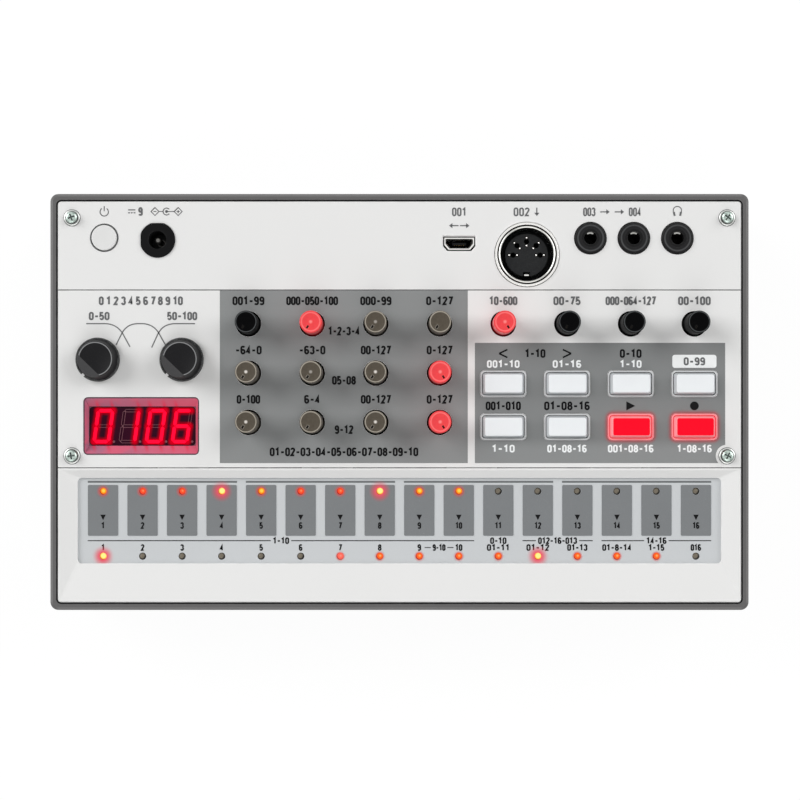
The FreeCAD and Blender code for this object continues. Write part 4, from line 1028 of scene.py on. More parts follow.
for name in ("bass", "treble"):
    make_large_knob(name)


# Keys and power button

def make_key(node, material):
    """A key cap that narrows to a dished top, with a flange under the panel and a stem on its switch."""
    x, y = box_middle(node)
    shape = Shape()
    neck = (key_width - 0.6, key_depth - 0.6, 0.4)
    skirt = (key_width, key_depth, 0.7)
    sections = [neck + (key_foot,), neck + (35.9,), skirt + (35.95,), skirt + (36.1,)]
    lean_x = (key_width - key_top_width) / 2.2
    lean_y = (key_depth - key_top_depth) / 2.2
    for step in range(6):
        angle = math.pi / 2 * step / 5
        height = key_top - key_edge + key_edge * math.sin(angle)
        inset = key_edge * (1 - math.cos(angle))
        sunk = key_top - height
        width = key_top_width + 2 * sunk * lean_x / 2 - 2 * inset
        depth = key_top_depth + 2 * sunk * lean_y / 2 - 2 * inset
        sections.append((width, depth, 0.6, height))
    sections.append((key_top_width - 1.6, key_top_depth - 1.4, 0.5, key_top - 0.04))
    shape.stack(x, y, sections)
    flange_x = 6.2
    flange_y = 3.5
    stem = 2
    shape.block(x - flange_x, x + flange_x, y - flange_y, y + flange_y, *key_flange)
    shape.block(x - stem, x + stem, y - stem, y + stem, switch_top, key_flange[0])
    body = node[7:] + "_key"
    shape.piece("dressed_" + node, [material], body, [node])


key_nodes = [name for name in nodes if name.startswith("button_") and name != "button_frame"]
for node in sorted(key_nodes):
    make_key(node, key_lit if node in lit_keys else key_white)


def make_power_button():
    """A round button with a slightly dished top, a flange under the panel and a stem."""
    x, y = box_middle("power_button")
    shape = Shape()
    radius = 3.5
    flange = (33.0, 33.8)
    profile = [(radius, flange[0])] + edge_profile(radius, 36.5, 0.3) + [(2.9, 36.49), (2.0, 36.44)]
    shape.turned(x, y, profile)
    flange_reach = 4.6
    stem = 1.5
    shape.block(x - flange_reach, x + flange_reach, y - flange_reach, y + flange_reach, *flange)
    shape.block(x - stem, x + stem, y - stem, y + stem, switch_top, flange[0])
    shape.piece("dressed_power_button", [power_white], "power_button_cap", ["power_button"])


make_power_button()


# Panel screws

def cross_outline(x, y, reach, half, turn):
    """The twelve corners of a cross recess."""
    points = []
    for quarter in range(4):
        angle = math.radians(turn + 90 * quarter)
        along = Vector((math.cos(angle), math.sin(angle)))
        across = Vector((-along.y, along.x))
        for out, aside in ((half, -half), (reach, -half), (reach, half)):
            corner = along * out + across * aside
            points.append((x + corner.x, y + corner.y))
    return points


screw_turns = {"back_left": 20, "back_right": 52, "front_left": 8, "front_right": 64}


def make_screws():
    """Washer heads with a domed core and a cross recess."""
    low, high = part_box("panel_screws")
    washer = 2.2
    half_x = high.x / MM - washer
    back_y = high.y / MM - washer
    front_y = low.y / MM + washer
    places = {"back_left": (-half_x, back_y), "back_right": (half_x, back_y),
              "front_left": (-half_x, front_y), "front_right": (half_x, front_y)}
    for place, (x, y) in places.items():
        shape = Shape()
        profile = [(1.25, 27.0), (1.25, 36.0), (2.12, 36.0), (washer, 36.1), (2.16, 36.34), (2.02, 36.44)]
        profile += [(1.8, 36.46), (1.66, 36.6), (1.68, 37.1), (1.58, 37.4), (1.35, 37.6), (0.9, 37.7)]
        shape.turned(0, 0, profile, 48)
        cutter = Shape()
        lower = cutter.ring(cross_outline(0, 0, 0.85, 0.16, screw_turns[place]), 36.95)
        upper = cutter.ring(cross_outline(0, 0, 1.15, 0.28, screw_turns[place]), 38.5)
        cutter.solid([lower, upper], 1)
        finishes = [plated_screw, plated_recess_shade]
        thing = shape.piece("dressed_screw_" + place, finishes, "housing")
        cut_away(thing, cutter, "cross")
        thing.parent = None
        thing.location = (x * MM, y * MM, 0)
        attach(thing, "housing")
        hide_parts("panel_screws")
    return places


screw_places = make_screws()


# Painted shade in the gap between the face plate and the rim: a black lining and floor down in the gap, and a
# thin black band on the rim's inner edge

gap_shade = Shape()
wall_width = 189.38
wall_depth = 111.38
wall_radius = 1.3
gap_shade_rings = []
for inset, height in ((0.0, 33.0), (0.0, 35.8), (0.06, 35.8), (0.06, 33.0)):
    outline = rounded_points(0, 0, wall_width - 2 * inset, wall_depth - 2 * inset, wall_radius - inset)
    gap_shade_rings.append(gap_shade.ring(outline, height))
gap_shade.skin(gap_shade_rings, closed=True)
rim_shade_band = rounded_points(0, 0, wall_width + 0.18, wall_depth + 0.18, 1.39)
wall_line = rounded_points(0, 0, wall_width - 0.02, wall_depth - 0.02, wall_radius)
gap_shade.surround(rim_shade_band, wall_line, face + 0.02)
floor_outer = rounded_points(0, 0, wall_width - 0.12, wall_depth - 0.12, 1.24)
floor_inner = rounded_points(0, 0, wall_width - 0.64, wall_depth - 0.64, 0.95)
gap_shade.surround(floor_outer, floor_inner, face - 0.5)
gap_shade.piece("gap_shade", [inner_black], "housing")


# Prints on the panel

def key_block_outline():
    """The right-hand block; its corner steps back round the screw."""
    x_low, x_high, y_low, y_high = key_block
    screw_x, screw_y = screw_places["front_right"]
    clearance = 3.1
    outline = [(x_low, y_low)]
    begin = math.pi / 2 + math.acos(max(-1.0, min(1.0, (y_low - screw_y) / clearance)))
    finish = math.pi / 2 - math.asin(max(-1.0, min(1.0, (x_high - screw_x) / clearance)))
    steps = 14
    for step in range(steps + 1):
        angle = begin + (finish - begin) * step / steps
        outline.append((screw_x + clearance * math.cos(angle), screw_y + clearance * math.sin(angle)))
    outline += [(x_high, y_high), (x_low, y_high)]
    return outline


prints = Shape()
small_knob_places = {node: box_middle(node) for node in small_knob_finishes}
block_holes = []
for x, y in small_knob_places.values():
    if x < knob_block[1]:
        block_holes.append(round_points(x, y, knob_hole + 0.05, 40)[::-1])
prints.sheet([corners_of(*knob_block)] + block_holes, face + print_lift / 2)
key_places = {node: box_middle(node) for node in key_nodes}
width, depth, radius = key_hole
key_holes = []
for x, y in key_places.values():
    key_holes.append(rounded_points(x, y, width + 0.1, depth + 0.1, radius)[::-1])
prints.sheet([key_block_outline()] + key_holes, face + print_lift / 2)
prints.piece("printed_blocks", [block_grey], "housing")

# Figures above the small knobs, each with its width: black on the block, grey on the white
knob_figures = {
    "knob_sample": ("001-99", 8.8), "knob_start_point": ("000-050-100", 14.3), "knob_length": ("000-99", 8.6),
    "knob_hi_cut": ("0-127", 7.4), "knob_speed": ("-64-0", 7.3), "knob_pitch_eg_int": ("-63-0", 7.3),
    "knob_pitch_attack": ("00-127", 8.3), "knob_pitch_decay": ("0-127", 7.1), "knob_level": ("0-100", 6.5),
    "knob_pan": ("6-4", 4.4), "knob_amp_attack": ("00-127", 8.3), "knob_amp_decay": ("0-127", 7.1),
    "knob_tempo": ("10-600", 7.8), "knob_swing": ("00-75", 7.5), "knob_reverb_mix": ("000-064-127", 13.9),
    "knob_volume": ("00-100", 9.0),
}
word_height = 2.42
word_over_knob = 6.35
figure_z = face + ink_lift
black = Shape()
grey = Shape()
white = Shape()


def print_word(ink_used, words, x, y, width, tall=word_height, stroke=None):
    """Figures on the panel, with their middle at a place and as wide as given."""
    ink_used.figures(words, x, y, tall, figure_z, width, stroke)


for node, (words, width) in knob_figures.items():
    x, y = small_knob_places[node]
    ink_used = black if x < knob_block[1] else grey
    print_word(ink_used, words, x, y + word_over_knob, width)
row_middle_x = (small_knob_places["knob_start_point"][0] + small_knob_places["knob_length"][0]) / 2
row_figures = {
    "knob_length": ("1-2-3-4", 8.8), "knob_pitch_attack": ("05-08", 6.6), "knob_amp_attack": ("9-12", 5.2),
}
for node, (words, width) in row_figures.items():
    print_word(black, words, row_middle_x, small_knob_places[node][1] - 2.0, width)
print_word(black, "01-02-03-04-05-06-07-08-09-10", row_middle_x, -13.8, 41.0)
print_word(grey, "0 1 2 3 4 5 6 7 8 9 10", -71.4, 27.9, 23.2)
print_word(grey, "0-50", -82.9, 23.7, 5.7, 2.3)
print_word(grey, "50-100", -60.0, 23.7, 8.3, 2.3)

# The words on the key block become plain ranges and generic marks
key_mark_x = {name: key_places["button_" + name][0] for name in ("part_left", "part_right", "mute", "func")}
top_mark_y = 13.35
top_word_y = 10.45
low_mark_y = -1.1
low_word_y = -12.9
for name, side in (("part_left", -1), ("part_right", 1)):
    tip = key_mark_x[name] + side * 1.15
    tail = key_mark_x[name] - side * 1.15
    black.band([(tail, top_mark_y + 1.1), (tip, top_mark_y)], 0.44, figure_z)
    black.band([(tip, top_mark_y), (tail, top_mark_y - 1.1)], 0.44, figure_z)
part_x = (key_mark_x["part_left"] + key_mark_x["part_right"]) / 2
black_figures = [
    ("1-10", part_x, top_mark_y, 5.7),
    ("0-10", key_mark_x["mute"], top_mark_y, 6.0),
    ("001-010", key_mark_x["part_left"], low_mark_y, 9.7),
    ("01-08-16", key_mark_x["part_right"], low_mark_y, 12.6),
]
for words, x, y, width in black_figures:
    print_word(black, words, x, y, width)
white_figures = [
    ("001-10", key_mark_x["part_left"], top_word_y, 9.0),
    ("01-16", key_mark_x["part_right"], top_word_y, 7.9),
    ("1-10", key_mark_x["mute"], top_word_y, 6.0),
    ("1-10", key_mark_x["part_left"], low_word_y, 6.3),
    ("01-08-16", key_mark_x["part_right"], low_word_y, 10.9),
    ("001-08-16", key_mark_x["mute"], low_word_y, 12.6),
    ("1-08-16", key_mark_x["func"], low_word_y, 9.6),
]
for words, x, y, width in white_figures:
    print_word(white, words, x, y, width, 2.15)
white.sheet([rounded_points(key_mark_x["func"], 11.2, 12.2, 3.6, 0.7)], face + print_lift)
grey.figures("0-99", key_mark_x["func"], 11.2, 2.25, figure_z + 0.02, 5.9)
play_x = key_mark_x["mute"]
triangle = [(play_x - 1.2, low_mark_y + 1.25), (play_x - 1.2, low_mark_y - 1.25), (play_x + 1.25, low_mark_y)]
black.sheet([triangle], figure_z)
black.sheet([round_points(key_mark_x["func"], low_mark_y, 1.2, 32)], figure_z)

# Response curves over the two large knobs
curve_y = 21.6
curve_width = 0.3


def bend(points, steps=12):
    """A smooth line: straight runs that turn through the given corners."""
    result = []
    for index in range(len(points)):
        if index in (0, len(points) - 1):
            result.append(points[index])
            continue
        before, corner, after = (Vector(points[index + offset]) for offset in (-1, 0, 1))
        reach = 0.48 * min((before - corner).length, (after - corner).length)
        start = corner + (before - corner).normalized() * reach
        end = corner + (after - corner).normalized() * reach
        for step in range(steps + 1):
            share = step / steps
            spot = start * (1 - share) ** 2 + corner * 2 * share * (1 - share) + end * share ** 2
            result.append((spot.x, spot.y))
    return result


low_shelf = [(-86.5, curve_y), (-77.9, curve_y), (-74.4, 15.2)]
band_pass = [(-78.25, 15.7), (-75.3, curve_y), (-67.9, curve_y), (-64.6, 15.7)]
high_shelf = [(-68.4, 15.0), (-65.4, curve_y), (-56.45, curve_y)]
for run in (low_shelf, band_pass, high_shelf):
    grey.band(bend(run), curve_width, figure_z)

# Pictograms by the sockets
icon_y = 52.55
power_x, power_y = box_middle("power_button")
grey.band(bow(power_x, icon_y - 0.1, 1.15, 1.15, 125, 415, 28), 0.26, figure_z)
grey.band([(power_x, icon_y + 0.1), (power_x, icon_y + 1.45)], 0.26, figure_z)


def draw_polarity_sign(x):
    """The sign for a socket with its plus on the pin."""
    line = 0.22
    spacing = 3.2
    half = 1.1
    sign_half = 0.42
    arc = 0.95
    for side in (-1, 1):
        centre = x + side * spacing
        corners = [(centre - half, icon_y), (centre, icon_y + half)]
        corners += [(centre + half, icon_y), (centre, icon_y - half)]
        grey.band(corners + corners[:2], line, figure_z)
        grey.band([(centre - sign_half, icon_y), (centre + sign_half, icon_y)], line, figure_z)
        grey.band([(centre - side * half, icon_y), (x + (0.0 if side > 0 else -arc), icon_y)], line, figure_z)
    grey.band([(x + spacing, icon_y - sign_half), (x + spacing, icon_y + sign_half)], line, figure_z)
    grey.band(bow(x, icon_y, arc, arc, 40, 320, 20), 0.26, figure_z)
    grey.sheet([round_points(x, icon_y, 0.4, 20)], figure_z)


draw_polarity_sign(-64.3)
# The sign for direct current, and the adaptor's voltage
grey.band([(-74.9, icon_y + 0.45), (-72.9, icon_y + 0.45)], 0.3, figure_z)
for step in range(3):
    dash_x = -74.9 + 0.75 * step
    grey.band([(dash_x, icon_y - 0.35), (dash_x + 0.5, icon_y - 0.35)], 0.3, figure_z)
print_word(grey, "9", -71.5, icon_y, 1.25)

phones_x = box_middle("jack_headphones")[0]
grey.band(bow(phones_x, icon_y + 0.25, 1.15, 1.15, -20, 200, 20), 0.24, figure_z)
for side in (-1, 1):
    grey.band([(phones_x + side * 1.0, icon_y - 0.1), (phones_x + side * 0.75, icon_y - 1.2)], 0.55, figure_z)


def arrow(shape, x, y, length, heading):
    """A plain arrow for the way a signal goes; heading is its angle, anticlockwise from the right."""
    along = Vector((math.cos(math.radians(heading)), math.sin(math.radians(heading))))
    across = Vector((-along.y, along.x))
    middle = Vector((x, y))
    tip = middle + along * length / 2
    head_length = 0.9
    head_half = 0.7
    neck = tip - along * head_length
    tail = middle - along * length / 2
    shape.band([tuple(tail), tuple(neck + along * 0.2)], 0.3, figure_z)
    head = [neck + across * head_half, neck - across * head_half, tip]
    shape.sheet([[tuple(corner) for corner in head]], figure_z)


# Plain socket numbers, with arrows for the way each socket works
usb_mark_x, din_mark_x, sync_in_x, sync_out_x = (
    box_middle(node)[0] for node in ("usb_shell", "din_insert", "jack_sync_in", "jack_sync_out"))
mark_y = icon_y - 0.1
arrow_length = 2.6
print_word(grey, "001", usb_mark_x, mark_y, 4.0, stroke=0.42)
for side in (-1, 1):
    arrow(grey, usb_mark_x + side * 1.5, icon_y - 3.9, arrow_length, 90 - 90 * side)
print_word(grey, "002", din_mark_x - 1.5, mark_y, 4.4, stroke=0.42)
arrow(grey, din_mark_x + 2.7, mark_y, 2.3, -90)
print_word(grey, "003", sync_in_x - 0.3, mark_y, 3.4, stroke=0.4)
print_word(grey, "004", sync_out_x + 0.3, mark_y, 3.4, stroke=0.4)
sync_middle_x = (sync_in_x + sync_out_x) / 2
for side in (-1, 1):
    arrow(grey, sync_middle_x + side * 2.0, mark_y, arrow_length, 0)

groove_reach = 94.4
groove_half = 0.11
groove_front = groove_y - groove_half
groove_back = groove_y + groove_half
# Painted shade: a grey strip down in the groove across the panel.
grey.block(-groove_reach, groove_reach, groove_front, groove_back, face - 0.3, face - 0.16)
# Painted shade: a grey ring round the power button's hole.
ring_outer = round_points(power_x, power_y, 3.95)
ring_inner = round_points(power_x, power_y, 3.72)
grey.surround(ring_outer, ring_inner, face + print_lift / 2)
# Painted shade: a grey ring on the panel round each screw's washer.
for x, y in screw_places.values():
    grey.surround(round_points(x, y, 2.36, 48), round_points(x, y, 2.21, 48), face + ink_lift)
black.piece("black_prints", [black_ink], "housing")
grey.piece("grey_prints_and_shade", [grey_ink_and_shade], "housing")
white.piece("white_prints", [white_ink], "housing")


# Touch strip: pad faces, bars, rules and numerals

pads = Shape()
numerals = Shape()
bars = Shape()
numeral_height = 1.85
for index in range(pad_count):
    x = pad_x(index)
    numeral_width = 1.0 if index < 9 else 1.9
    outline = rounded_points(x, pad_y, pad_width - 0.1, pad_depth - 0.1, pad_corner)
    pads.surround(outline, round_points(x, step_lamp_y, lamp_hole + 0.02, 32), pad_face + print_lift / 2)
    numerals.figures(str(index + 1), x, -34.2, numeral_height, pad_face + ink_lift, numeral_width)
    point_down = [(x - 0.75, -31.2), (x, -32.7), (x + 0.75, -31.2)]
    numerals.sheet([point_down], pad_face + ink_lift)
for group in range(4):
    left = pad_x(4 * group) - pad_width / 2
    right = pad_x(4 * group + 3) + pad_width / 2
    bars.block(left, right, group_bar_y - 0.26, group_bar_y + 0.26, sheet_face, sheet_face + print_lift)

# Figures over the lower lamps: plain numbers for the first ten, wider ranges over the other six
lower_figures = [(str(index + 1), 1.0 if index < 9 else 2.0) for index in range(10)]
lower_figures += [("01-11", 6.3), ("01-12", 6.3), ("01-13", 5.6)]
lower_figures += [("01-8-14", 8.1), ("1-15", 4.4), ("016", 2.9)]
strip_z = sheet_face + ink_lift
for index, (words, width) in enumerate(lower_figures):
    numerals.figures(words, pad_x(index), numeral_y, numeral_height, strip_z, width)
alternate_x = (pad_x(8) + pad_x(9)) / 2
numerals.figures("9-10", alternate_x, numeral_y, numeral_height, strip_z, 3.6)
for side in (-1, 1):
    line = [(alternate_x + side * 2.3, numeral_y), (alternate_x + side * 4.0, numeral_y)]
    numerals.band(line[::side], 0.22, strip_z)
rules = [(0, 9, "1-10", 4.5), (11, 12, "012-16-013", 10.8), (13, 15, "14-16", 5.6)]
for first, last, words, width in rules:
    left = pad_x(first) - pad_width / 2
    right = pad_x(last) + pad_width / 2
    middle = (left + right) / 2
    gap = width / 2 + 0.6
    numerals.band([(left, rule_y), (middle - gap, rule_y)], 0.24, strip_z)
    numerals.band([(middle + gap, rule_y), (right, rule_y)], 0.24, strip_z)
    numerals.figures(words, middle, rule_y, numeral_height, strip_z, width)
numerals.figures("0-10", pad_x(10), rule_y, numeral_height, strip_z, 4.5)
pads.piece("pad_faces", [pad_grey], "housing")
bars.piece("group_bars", [bar_grey], "housing")
numerals.piece("strip_numerals", [black_ink], "housing")


# Lamps of the touch strip

step_states = "ARRBARRBAA" + "D" * 6
part_states = "BDDDDDPOOOOBOOOD"
halo_reach = {"A": 2.0, "O": 1.6, "R": 1.9, "P": 1.5, "B": 3.3}
lamp_radius = 0.96


def lamp_profile():
    """A flat disc with a domed top."""
    foot = 33.2
    shoulder = 33.6
    dome = 0.38
    profile = [(lamp_radius, foot), (lamp_radius, shoulder)]
    for step in range(6):
        angle = math.pi / 2 * step / 6
        profile.append((lamp_radius * math.cos(angle), shoulder + dome * math.sin(angle)))
    profile.append((0.1, 33.98))
    return profile


def make_lamp_row(name, states, y, node, top):
    """One row of lamps by their letters, a piece for each letter, and the painted glow round the lit ones."""
    for state, finish in lamp_finishes.items():
        row = Shape()
        for index, letter in enumerate(states):
            if letter == state:
                row.turned(pad_x(index), y, lamp_profile(), 32)
        if state in states:
            row.piece(name + "_lamps_" + finish.name, [finish], "housing", [node], 60)
    for state, reach in halo_reach.items():
        glow = Shape()
        for index, letter in enumerate(states):
            if letter == state:
                glow.halo(pad_x(index), y, lamp_hole - 0.03, reach, top)
        if state in states:
            finish = halo_strong if state == "B" else halo_pink
            glow.piece(name + "_halos_" + state, [finish], "housing")


make_lamp_row("step", step_states, step_lamp_y, "step_leds", pad_face + 0.08)
make_lamp_row("part", part_states, part_lamp_y, "part_leds", sheet_face + 0.08)


# Figures of the display

segments_of = {"0": "abcdef", "1": "bc", "6": "acdefg", "8": "abcdefg"}


# The ends of each bar in a digit's box: left or right of its middle, and below or above it
bar_ends = {"a": ((-1, 1), (1, 1)), "g": ((-1, 0), (1, 0)), "d": ((-1, -1), (1, -1)),
            "f": ((-1, 0), (-1, 1)), "b": ((1, 0), (1, 1)), "e": ((-1, -1), (-1, 0)), "c": ((1, -1), (1, 0))}


def bar_run(x, y, letter):
    """The two ends of one bar of a slanted digit."""
    lean = math.tan(math.radians(digit_slant))
    ends = []
    for side, row in bar_ends[letter]:
        level = row * digit_height / 2
        ends.append(Vector((x + side * digit_width / 2 + lean * level, y + level)))
    return ends


def bar_outline(run, half):
    """A bar's six corners, pointed at both ends."""
    start, end = run
    along = (end - start).normalized()
    across = Vector((-along.y, along.x))
    start = start + along * half * 0.25
    end = end - along * half * 0.25
    outline = [start, start + along * half - across * half, end - along * half - across * half, end,
               end - along * half + across * half, start + along * half + across * half]
    return [(point.x, point.y) for point in outline]


def add_glow(shape, run, inner, outer, height):
    """A painted glow round a bar: a capsule faded from its middle line to its rim."""
    start, end = run
    along = (end - start).normalized()
    angle = math.atan2(along.y, along.x)
    steps = 8
    levels = 5
    rings = []
    for level in range(levels + 1):
        radius = outer + (inner - outer) * level / levels
        points = []
        for centre, first in ((end, angle - math.pi / 2), (start, angle + math.pi / 2)):
            for step in range(steps + 1):
                turn = first + math.pi * step / steps
                points.append((centre.x + radius * math.cos(turn), centre.y + radius * math.sin(turn)))
        rings.append(shape.faded_ring(points, height, level / levels))
    shape.skin(rings)
    shape.cap(rings[-1])


window_top = 35.85
window_half = (16.0, 8.0)
view_half = (14.8, 5.45)
wall_foot = 33.6


def add_streak(shape, x, side, half, lean):
    """A painted reflection of a lit bar on the sloping wall behind or in front of the figures."""
    layer = shape.falloff()
    near_y = display_y + side * view_half[1]
    far_y = display_y + side * (window_half[1] - 0.42)
    rows = []
    for share in (0.0, 0.35, 0.7, 1.0):
        y = near_y + (far_y - near_y) * share
        height = wall_foot + (window_top - wall_foot) * share + 0.05
        row = []
        for offset, bright in ((-1.0, 0.0), (-0.5, 0.6), (0.0, 1.0), (0.5, 0.6), (1.0, 0.0)):
            vertex = shape.mesh.verts.new(((x + lean * share + offset * half) * MM, y * MM, height * MM))
            vertex[layer] = bright * (1.0 - share) ** 0.6
            row.append(vertex)
        rows.append(row)
    for low_row, high_row in zip(rows, rows[1:]):
        for index in range(4):
            corners = (low_row[index], low_row[index + 1], high_row[index + 1], high_row[index])
            shape.mesh.faces.new(corners if side > 0 else corners[::-1])


# A bar that is off shows as a faint line round its edge
lit_bars = Shape()
dark_bars = Shape()
glow_sheets = Shape()
streaks = Shape()
lift = 0.0
for index, figure in enumerate(shown_figures):
    x = display_x + (index - 1.5) * digit_pitch
    for letter in "abcdefg":
        run = bar_run(x, display_y, letter)
        if letter in segments_of[figure]:
            lit_bars.prism(bar_outline(run, 0.44), module_face - 0.08, module_face + 0.08)
            lift += 0.002
            add_glow(glow_sheets, run, 0.42, 1.6, module_face + 0.015 + lift)
        else:
            dark_bars.band(bar_outline(run, 0.36), 0.13, module_face + 0.01, closed=True)
        if letter in "bcef" and letter in segments_of[figure]:
            side = 1 if letter in "bf" else -1
            add_streak(streaks, run[1].x if side > 0 else run[0].x, side, 0.85, -0.35 if side > 0 else 0.9)
    point_x = x + digit_pitch / 2 - 0.75
    point_y = display_y - digit_height / 2
    dark_bars.turned(point_x, point_y, [(0.34, module_face - 0.09), (0.34, module_face + 0.01)], 20)
lit_bars.piece("lit_bars", [bar_lit], "housing")
dark_bars.piece("dark_bars", [bar_off], "housing")
glow_sheets.piece("bar_glow", [halo_display], "housing")
streaks.piece("wall_streaks", [halo_streak], "housing")
window_edge = Shape()
window_outer = rounded_points(display_x, display_y, 31.96, 15.96, 1.28)
window_inner = rounded_points(display_x, display_y, 31.4, 15.4, 1.0)
window_edge.surround(window_outer, window_inner, window_top + 0.03)
window_edge.piece("window_edge", [window_dark], "housing")
border = Shape()
view_width = 2 * view_half[0]
view_depth = 2 * view_half[1]
corner_outer = rounded_points(display_x, display_y, view_width - 0.02, view_depth - 0.02, 0.05)
border_outer = rounded_points(display_x, display_y, view_width - 0.06, view_depth - 0.06, 1.1)
border_inner = rounded_points(display_x, display_y, view_width - 0.46, view_depth - 0.46, 0.9)
border.surround(border_outer, border_inner, module_face + 0.14)
border.surround(corner_outer, border_outer, module_face + 0.14, 1)
border.piece("view_border", [inner_black, smoked_window], "housing")


# Painted red glow of the two lit keys on the block round them

key_glow = Shape()
glow_steps = 5
for node in lit_keys:
    x, y = key_places[node]
    rings = []
    for step in range(glow_steps + 1):
        grow = 0.05 + 1.2 * step / glow_steps
        outline = rounded_points(x, y, key_hole[0] + 2 * grow, key_hole[1] + 2 * grow, key_hole[2] + grow)
        rings.append(key_glow.faded_ring(outline, face + 0.07, 1 - step / glow_steps))
    key_glow.skin(rings[::-1])
key_glow.piece("key_glow", [halo_key], "housing")


# Parts inside the sockets

def arc_tube(shape, x, y, inner, outer, start, end, low, high, steps=16):
    """Part of a thin tube, from one angle to another."""
    near = bow(x, y, inner, inner, start, end, steps)
    far = bow(x, y, outer, outer, start, end, steps)
    outline = far + near[::-1]
    lower = shape.ring(outline, low)
    upper = shape.ring(outline, high)
    shape.skin([lower, upper])
    for index in range(steps):
        across = 2 * steps + 1 - index
        shape.mesh.faces.new((upper[index], upper[index + 1], upper[across - 1], upper[across]))
        shape.mesh.faces.new((lower[across], lower[across - 1], lower[index + 1], lower[index]))


din_x, din_y = box_middle("din_shell")
contact_radius = 3.75
insert_face = 34.2

# Painted shade in the holes of the round socket: dark radial slots on the insert's face, with small bright
# domes at their ends as painted glints of each contact.
contact_slot_shade = Shape()
contact_glints_and_tab = Shape()
for angle in (0, 45, 90, 135, 180):
    along = Vector((math.cos(math.radians(angle)), math.sin(math.radians(angle))))
    across = Vector((-along.y, along.x))
    centre = Vector((din_x, din_y)) + along * contact_radius
    for side in (-1, 1):
        inner = centre + along * side * 0.7
        outer = centre + along * side * 1.5
        aside = across * 0.42
        corners = [inner - aside, outer - aside, outer + aside, inner + aside]
        contact_slot_shade.sheet([[tuple(corner) for corner in corners]], insert_face + 0.015)
        tip = centre + along * side * 1.08
        contact_glints_and_tab.turned(tip.x, tip.y, [(0.24, insert_face - 0.1), (0.24, insert_face + 0.05),
                                       (0.15, insert_face + 0.14), (0.05, insert_face + 0.17)], 16)
# A small metal tab at the front of the round socket
contact_glints_and_tab.block(din_x - 0.62, din_x + 0.62, din_y - 5.7, din_y - 5.35, 30.0, 33.9)
contact_glints_and_tab.piece("socket_glints_and_tab", [bright_metal], "housing")
contact_slot_shade.piece("contact_slot_shade", [dark_marks_and_shade], "housing")

# The rolled lip of the round socket closes the ring between its shell and the panel
lip = Shape()
lip.tube(din_x, din_y, [(8.22, 35.6), (8.87, 35.6), (8.9, 36.12), (8.78, 36.34), (8.5, 36.42), (8.26, 36.34),
                        (8.22, 36.12)], 128)
lip.tube(din_x, din_y, [(7.38, 35.6), (7.86, 35.6), (7.86, 36.12), (7.8, 36.32), (7.62, 36.4), (7.42, 36.3),
                        (7.38, 36.12)], 128, 1)
lip.piece("round_socket_lip", [bright_metal, shaft_metal], "housing")
# Painted shade: dark rings in the gap between the lip's two rings and just inside the inner one.
lip_shade_lines = Shape()
lip_shade_lines.tube(din_x, din_y, [(7.8, 35.9), (8.26, 35.9), (8.26, 36.31), (7.8, 36.31)], 128)
lip_shade_lines.tube(din_x, din_y, [(7.28, 35.0), (7.4, 35.0), (7.4, 36.2), (7.28, 36.2)], 128)
lip_shade_lines.piece("round_socket_shade", [dark_marks_and_shade], "housing")

springs = Shape()
for node in ("jack_sync_in", "jack_sync_out", "jack_headphones"):
    x, y = box_middle(node)
    rim = Shape()
    rim.tube(0, 0, [(1.95, 36.5), (2.0, 36.58), (2.45, 36.66), (2.62, 36.6), (2.75, 36.56), (3.6, 36.56),
                    (3.78, 36.66), (3.92, 36.66), (4.02, 36.5)], 72)
    thing = rim.piece("rim_" + node, [collar_black], "housing")
    thing.parent = None
    thing.location = (x * MM, y * MM, 0)
    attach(thing, "housing")
    arc_tube(springs, x, y, 1.3, 1.7, 56, 124, 31.0, 35.6)
springs.piece("jack_springs", [shaft_metal], "housing")

# The adaptor socket's face is a little wider than its collar
adaptor_x, adaptor_y = box_middle("dc_pin")
flat_reach = 4.62


def adaptor_outline(radius):
    """A circle flattened on its back and left sides."""
    points = []
    for px, py in round_points(0, 0, radius, 96):
        points.append((adaptor_x + max(px, -flat_reach), adaptor_y + min(py, flat_reach)))
    return points


adaptor = Shape()
rings = [adaptor.ring(adaptor_outline(radius), height)
         for radius, height in ((4.92, 36.02), (4.92, 36.3), (4.78, 36.42))]
rings += [adaptor.ring(round_points(adaptor_x, adaptor_y, radius, 96), height)
          for radius, height in ((2.6, 36.42), (2.5, 36.34), (2.5, 36.02))]
adaptor.skin(rings, closed=True)
adaptor.piece("adaptor_face", [adaptor_black], "housing")

fingers = Shape()
usb_x, usb_y = box_middle("usb_tongue")
finger_count = 5
finger_pitch = 0.65
for index in range(finger_count):
    x = usb_x + (index - (finger_count - 1) // 2) * finger_pitch
    fingers.block(x - 0.14, x + 0.14, usb_y - 0.34, usb_y + 0.34, 30.0, 34.3)
fingers.piece("usb_fingers", [solder_gold], "housing")


# Stage, light and camera

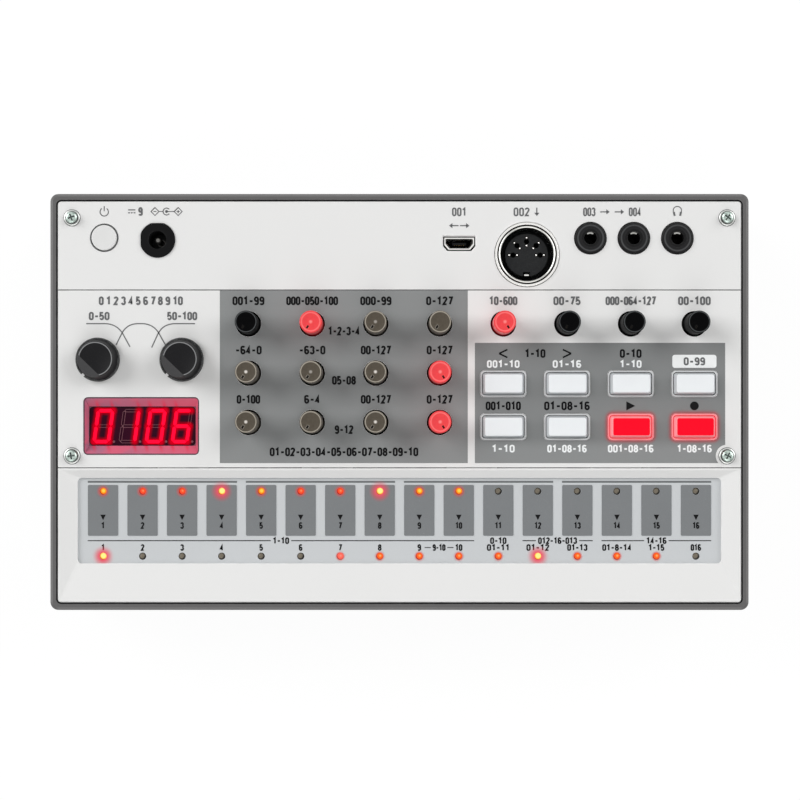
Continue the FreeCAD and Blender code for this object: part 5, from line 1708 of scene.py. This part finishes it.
def make_floor():
    """A pale floor, mostly white to the eye, with a little of the object's shadow; clear from below."""
    shape = Shape()
    reach = 3000
    depth_below = -0.05
    eye_share = 0.93
    shape.cap(shape.ring([(-2 * reach, -reach), (2 * reach, -reach), (0, 2 * reach)], depth_below))
    data = bpy.data.meshes.new("floor")
    shape.mesh.to_mesh(data)
    shape.mesh.free()
    floor = bpy.data.objects.new("floor", data)
    bpy.context.scene.collection.objects.link(floor)
    material, tree, shader = new_material("pale_floor")
    settings = {"Base Color": (0.9, 0.9, 0.9, 1.0), "Roughness": 0.9, "Specular IOR Level": 0.0}
    for label, value in settings.items():
        connect(tree, value, shader.inputs[label])
    bright = new_node(tree, "Emission", Strength=1.02).outputs[0]
    seen = math_node(tree, "MULTIPLY", followed_by_eye(tree), eye_share)
    from_above = mix_shaders(tree, seen, shader.outputs[0], bright)
    below = new_node(tree, "NewGeometry").outputs["Backfacing"]
    whole = mix_shaders(tree, below, from_above, new_node(tree, "BsdfTransparent").outputs[0])
    connect(tree, whole, tree.nodes["Material Output"].inputs["Surface"])
    data.materials.append(material)


def make_world(fill):
    """White to the eye, and a soft fill light for everything else."""
    world = bpy.data.worlds.new("studio")
    bpy.context.scene.world = world
    world.use_nodes = True
    tree = world.node_tree
    white_light = (1.0, 1.0, 1.0, 1.0)
    soft = tree.nodes["Background"]
    connect(tree, white_light, soft.inputs["Color"])
    connect(tree, fill, soft.inputs["Strength"])
    backdrop = new_node(tree, "Background", Color=white_light, Strength=1.0)
    mixed = mix_shaders(tree, followed_by_eye(tree), soft.outputs[0], backdrop.outputs[0])
    connect(tree, mixed, tree.nodes["World Output"].inputs["Surface"])


def make_softbox(name, place, size, power):
    """A square light that faces the object; place and size are in metres, power in watts."""
    light = bpy.data.lights.new(name, "AREA")
    light.shape = "SQUARE"
    light.size = size
    light.energy = power
    lamp = bpy.data.objects.new(name, light)
    lamp.location = place
    lamp.rotation_euler = (Vector((0, 0, 0)) - Vector(place)).to_track_quat("-Z", "Y").to_euler()
    bpy.context.scene.collection.objects.link(lamp)


make_floor()
make_world(0.3)
make_softbox("left_light", (-3.2, 1.5, 2.3), 2.8, 118.0)
make_softbox("right_light", (3.2, 1.5, 2.3), 2.8, 82.0)
make_softbox("front_light", (0.0, -3.0, 3.0), 3.0, 48.0)

# The camera looks straight down; its place is in metres, its lens in millimetres
lens = bpy.data.cameras.new("camera")
lens.sensor_width = 36.0
lens.lens = 86.4
lens.shift_y = 0.0626
camera = bpy.data.objects.new("camera", lens)
camera.location = (0.00014, -0.0133, 0.566)
bpy.context.scene.collection.objects.link(camera)
bpy.context.scene.camera = camera
bpy.context.scene.view_settings.view_transform = "Standard"
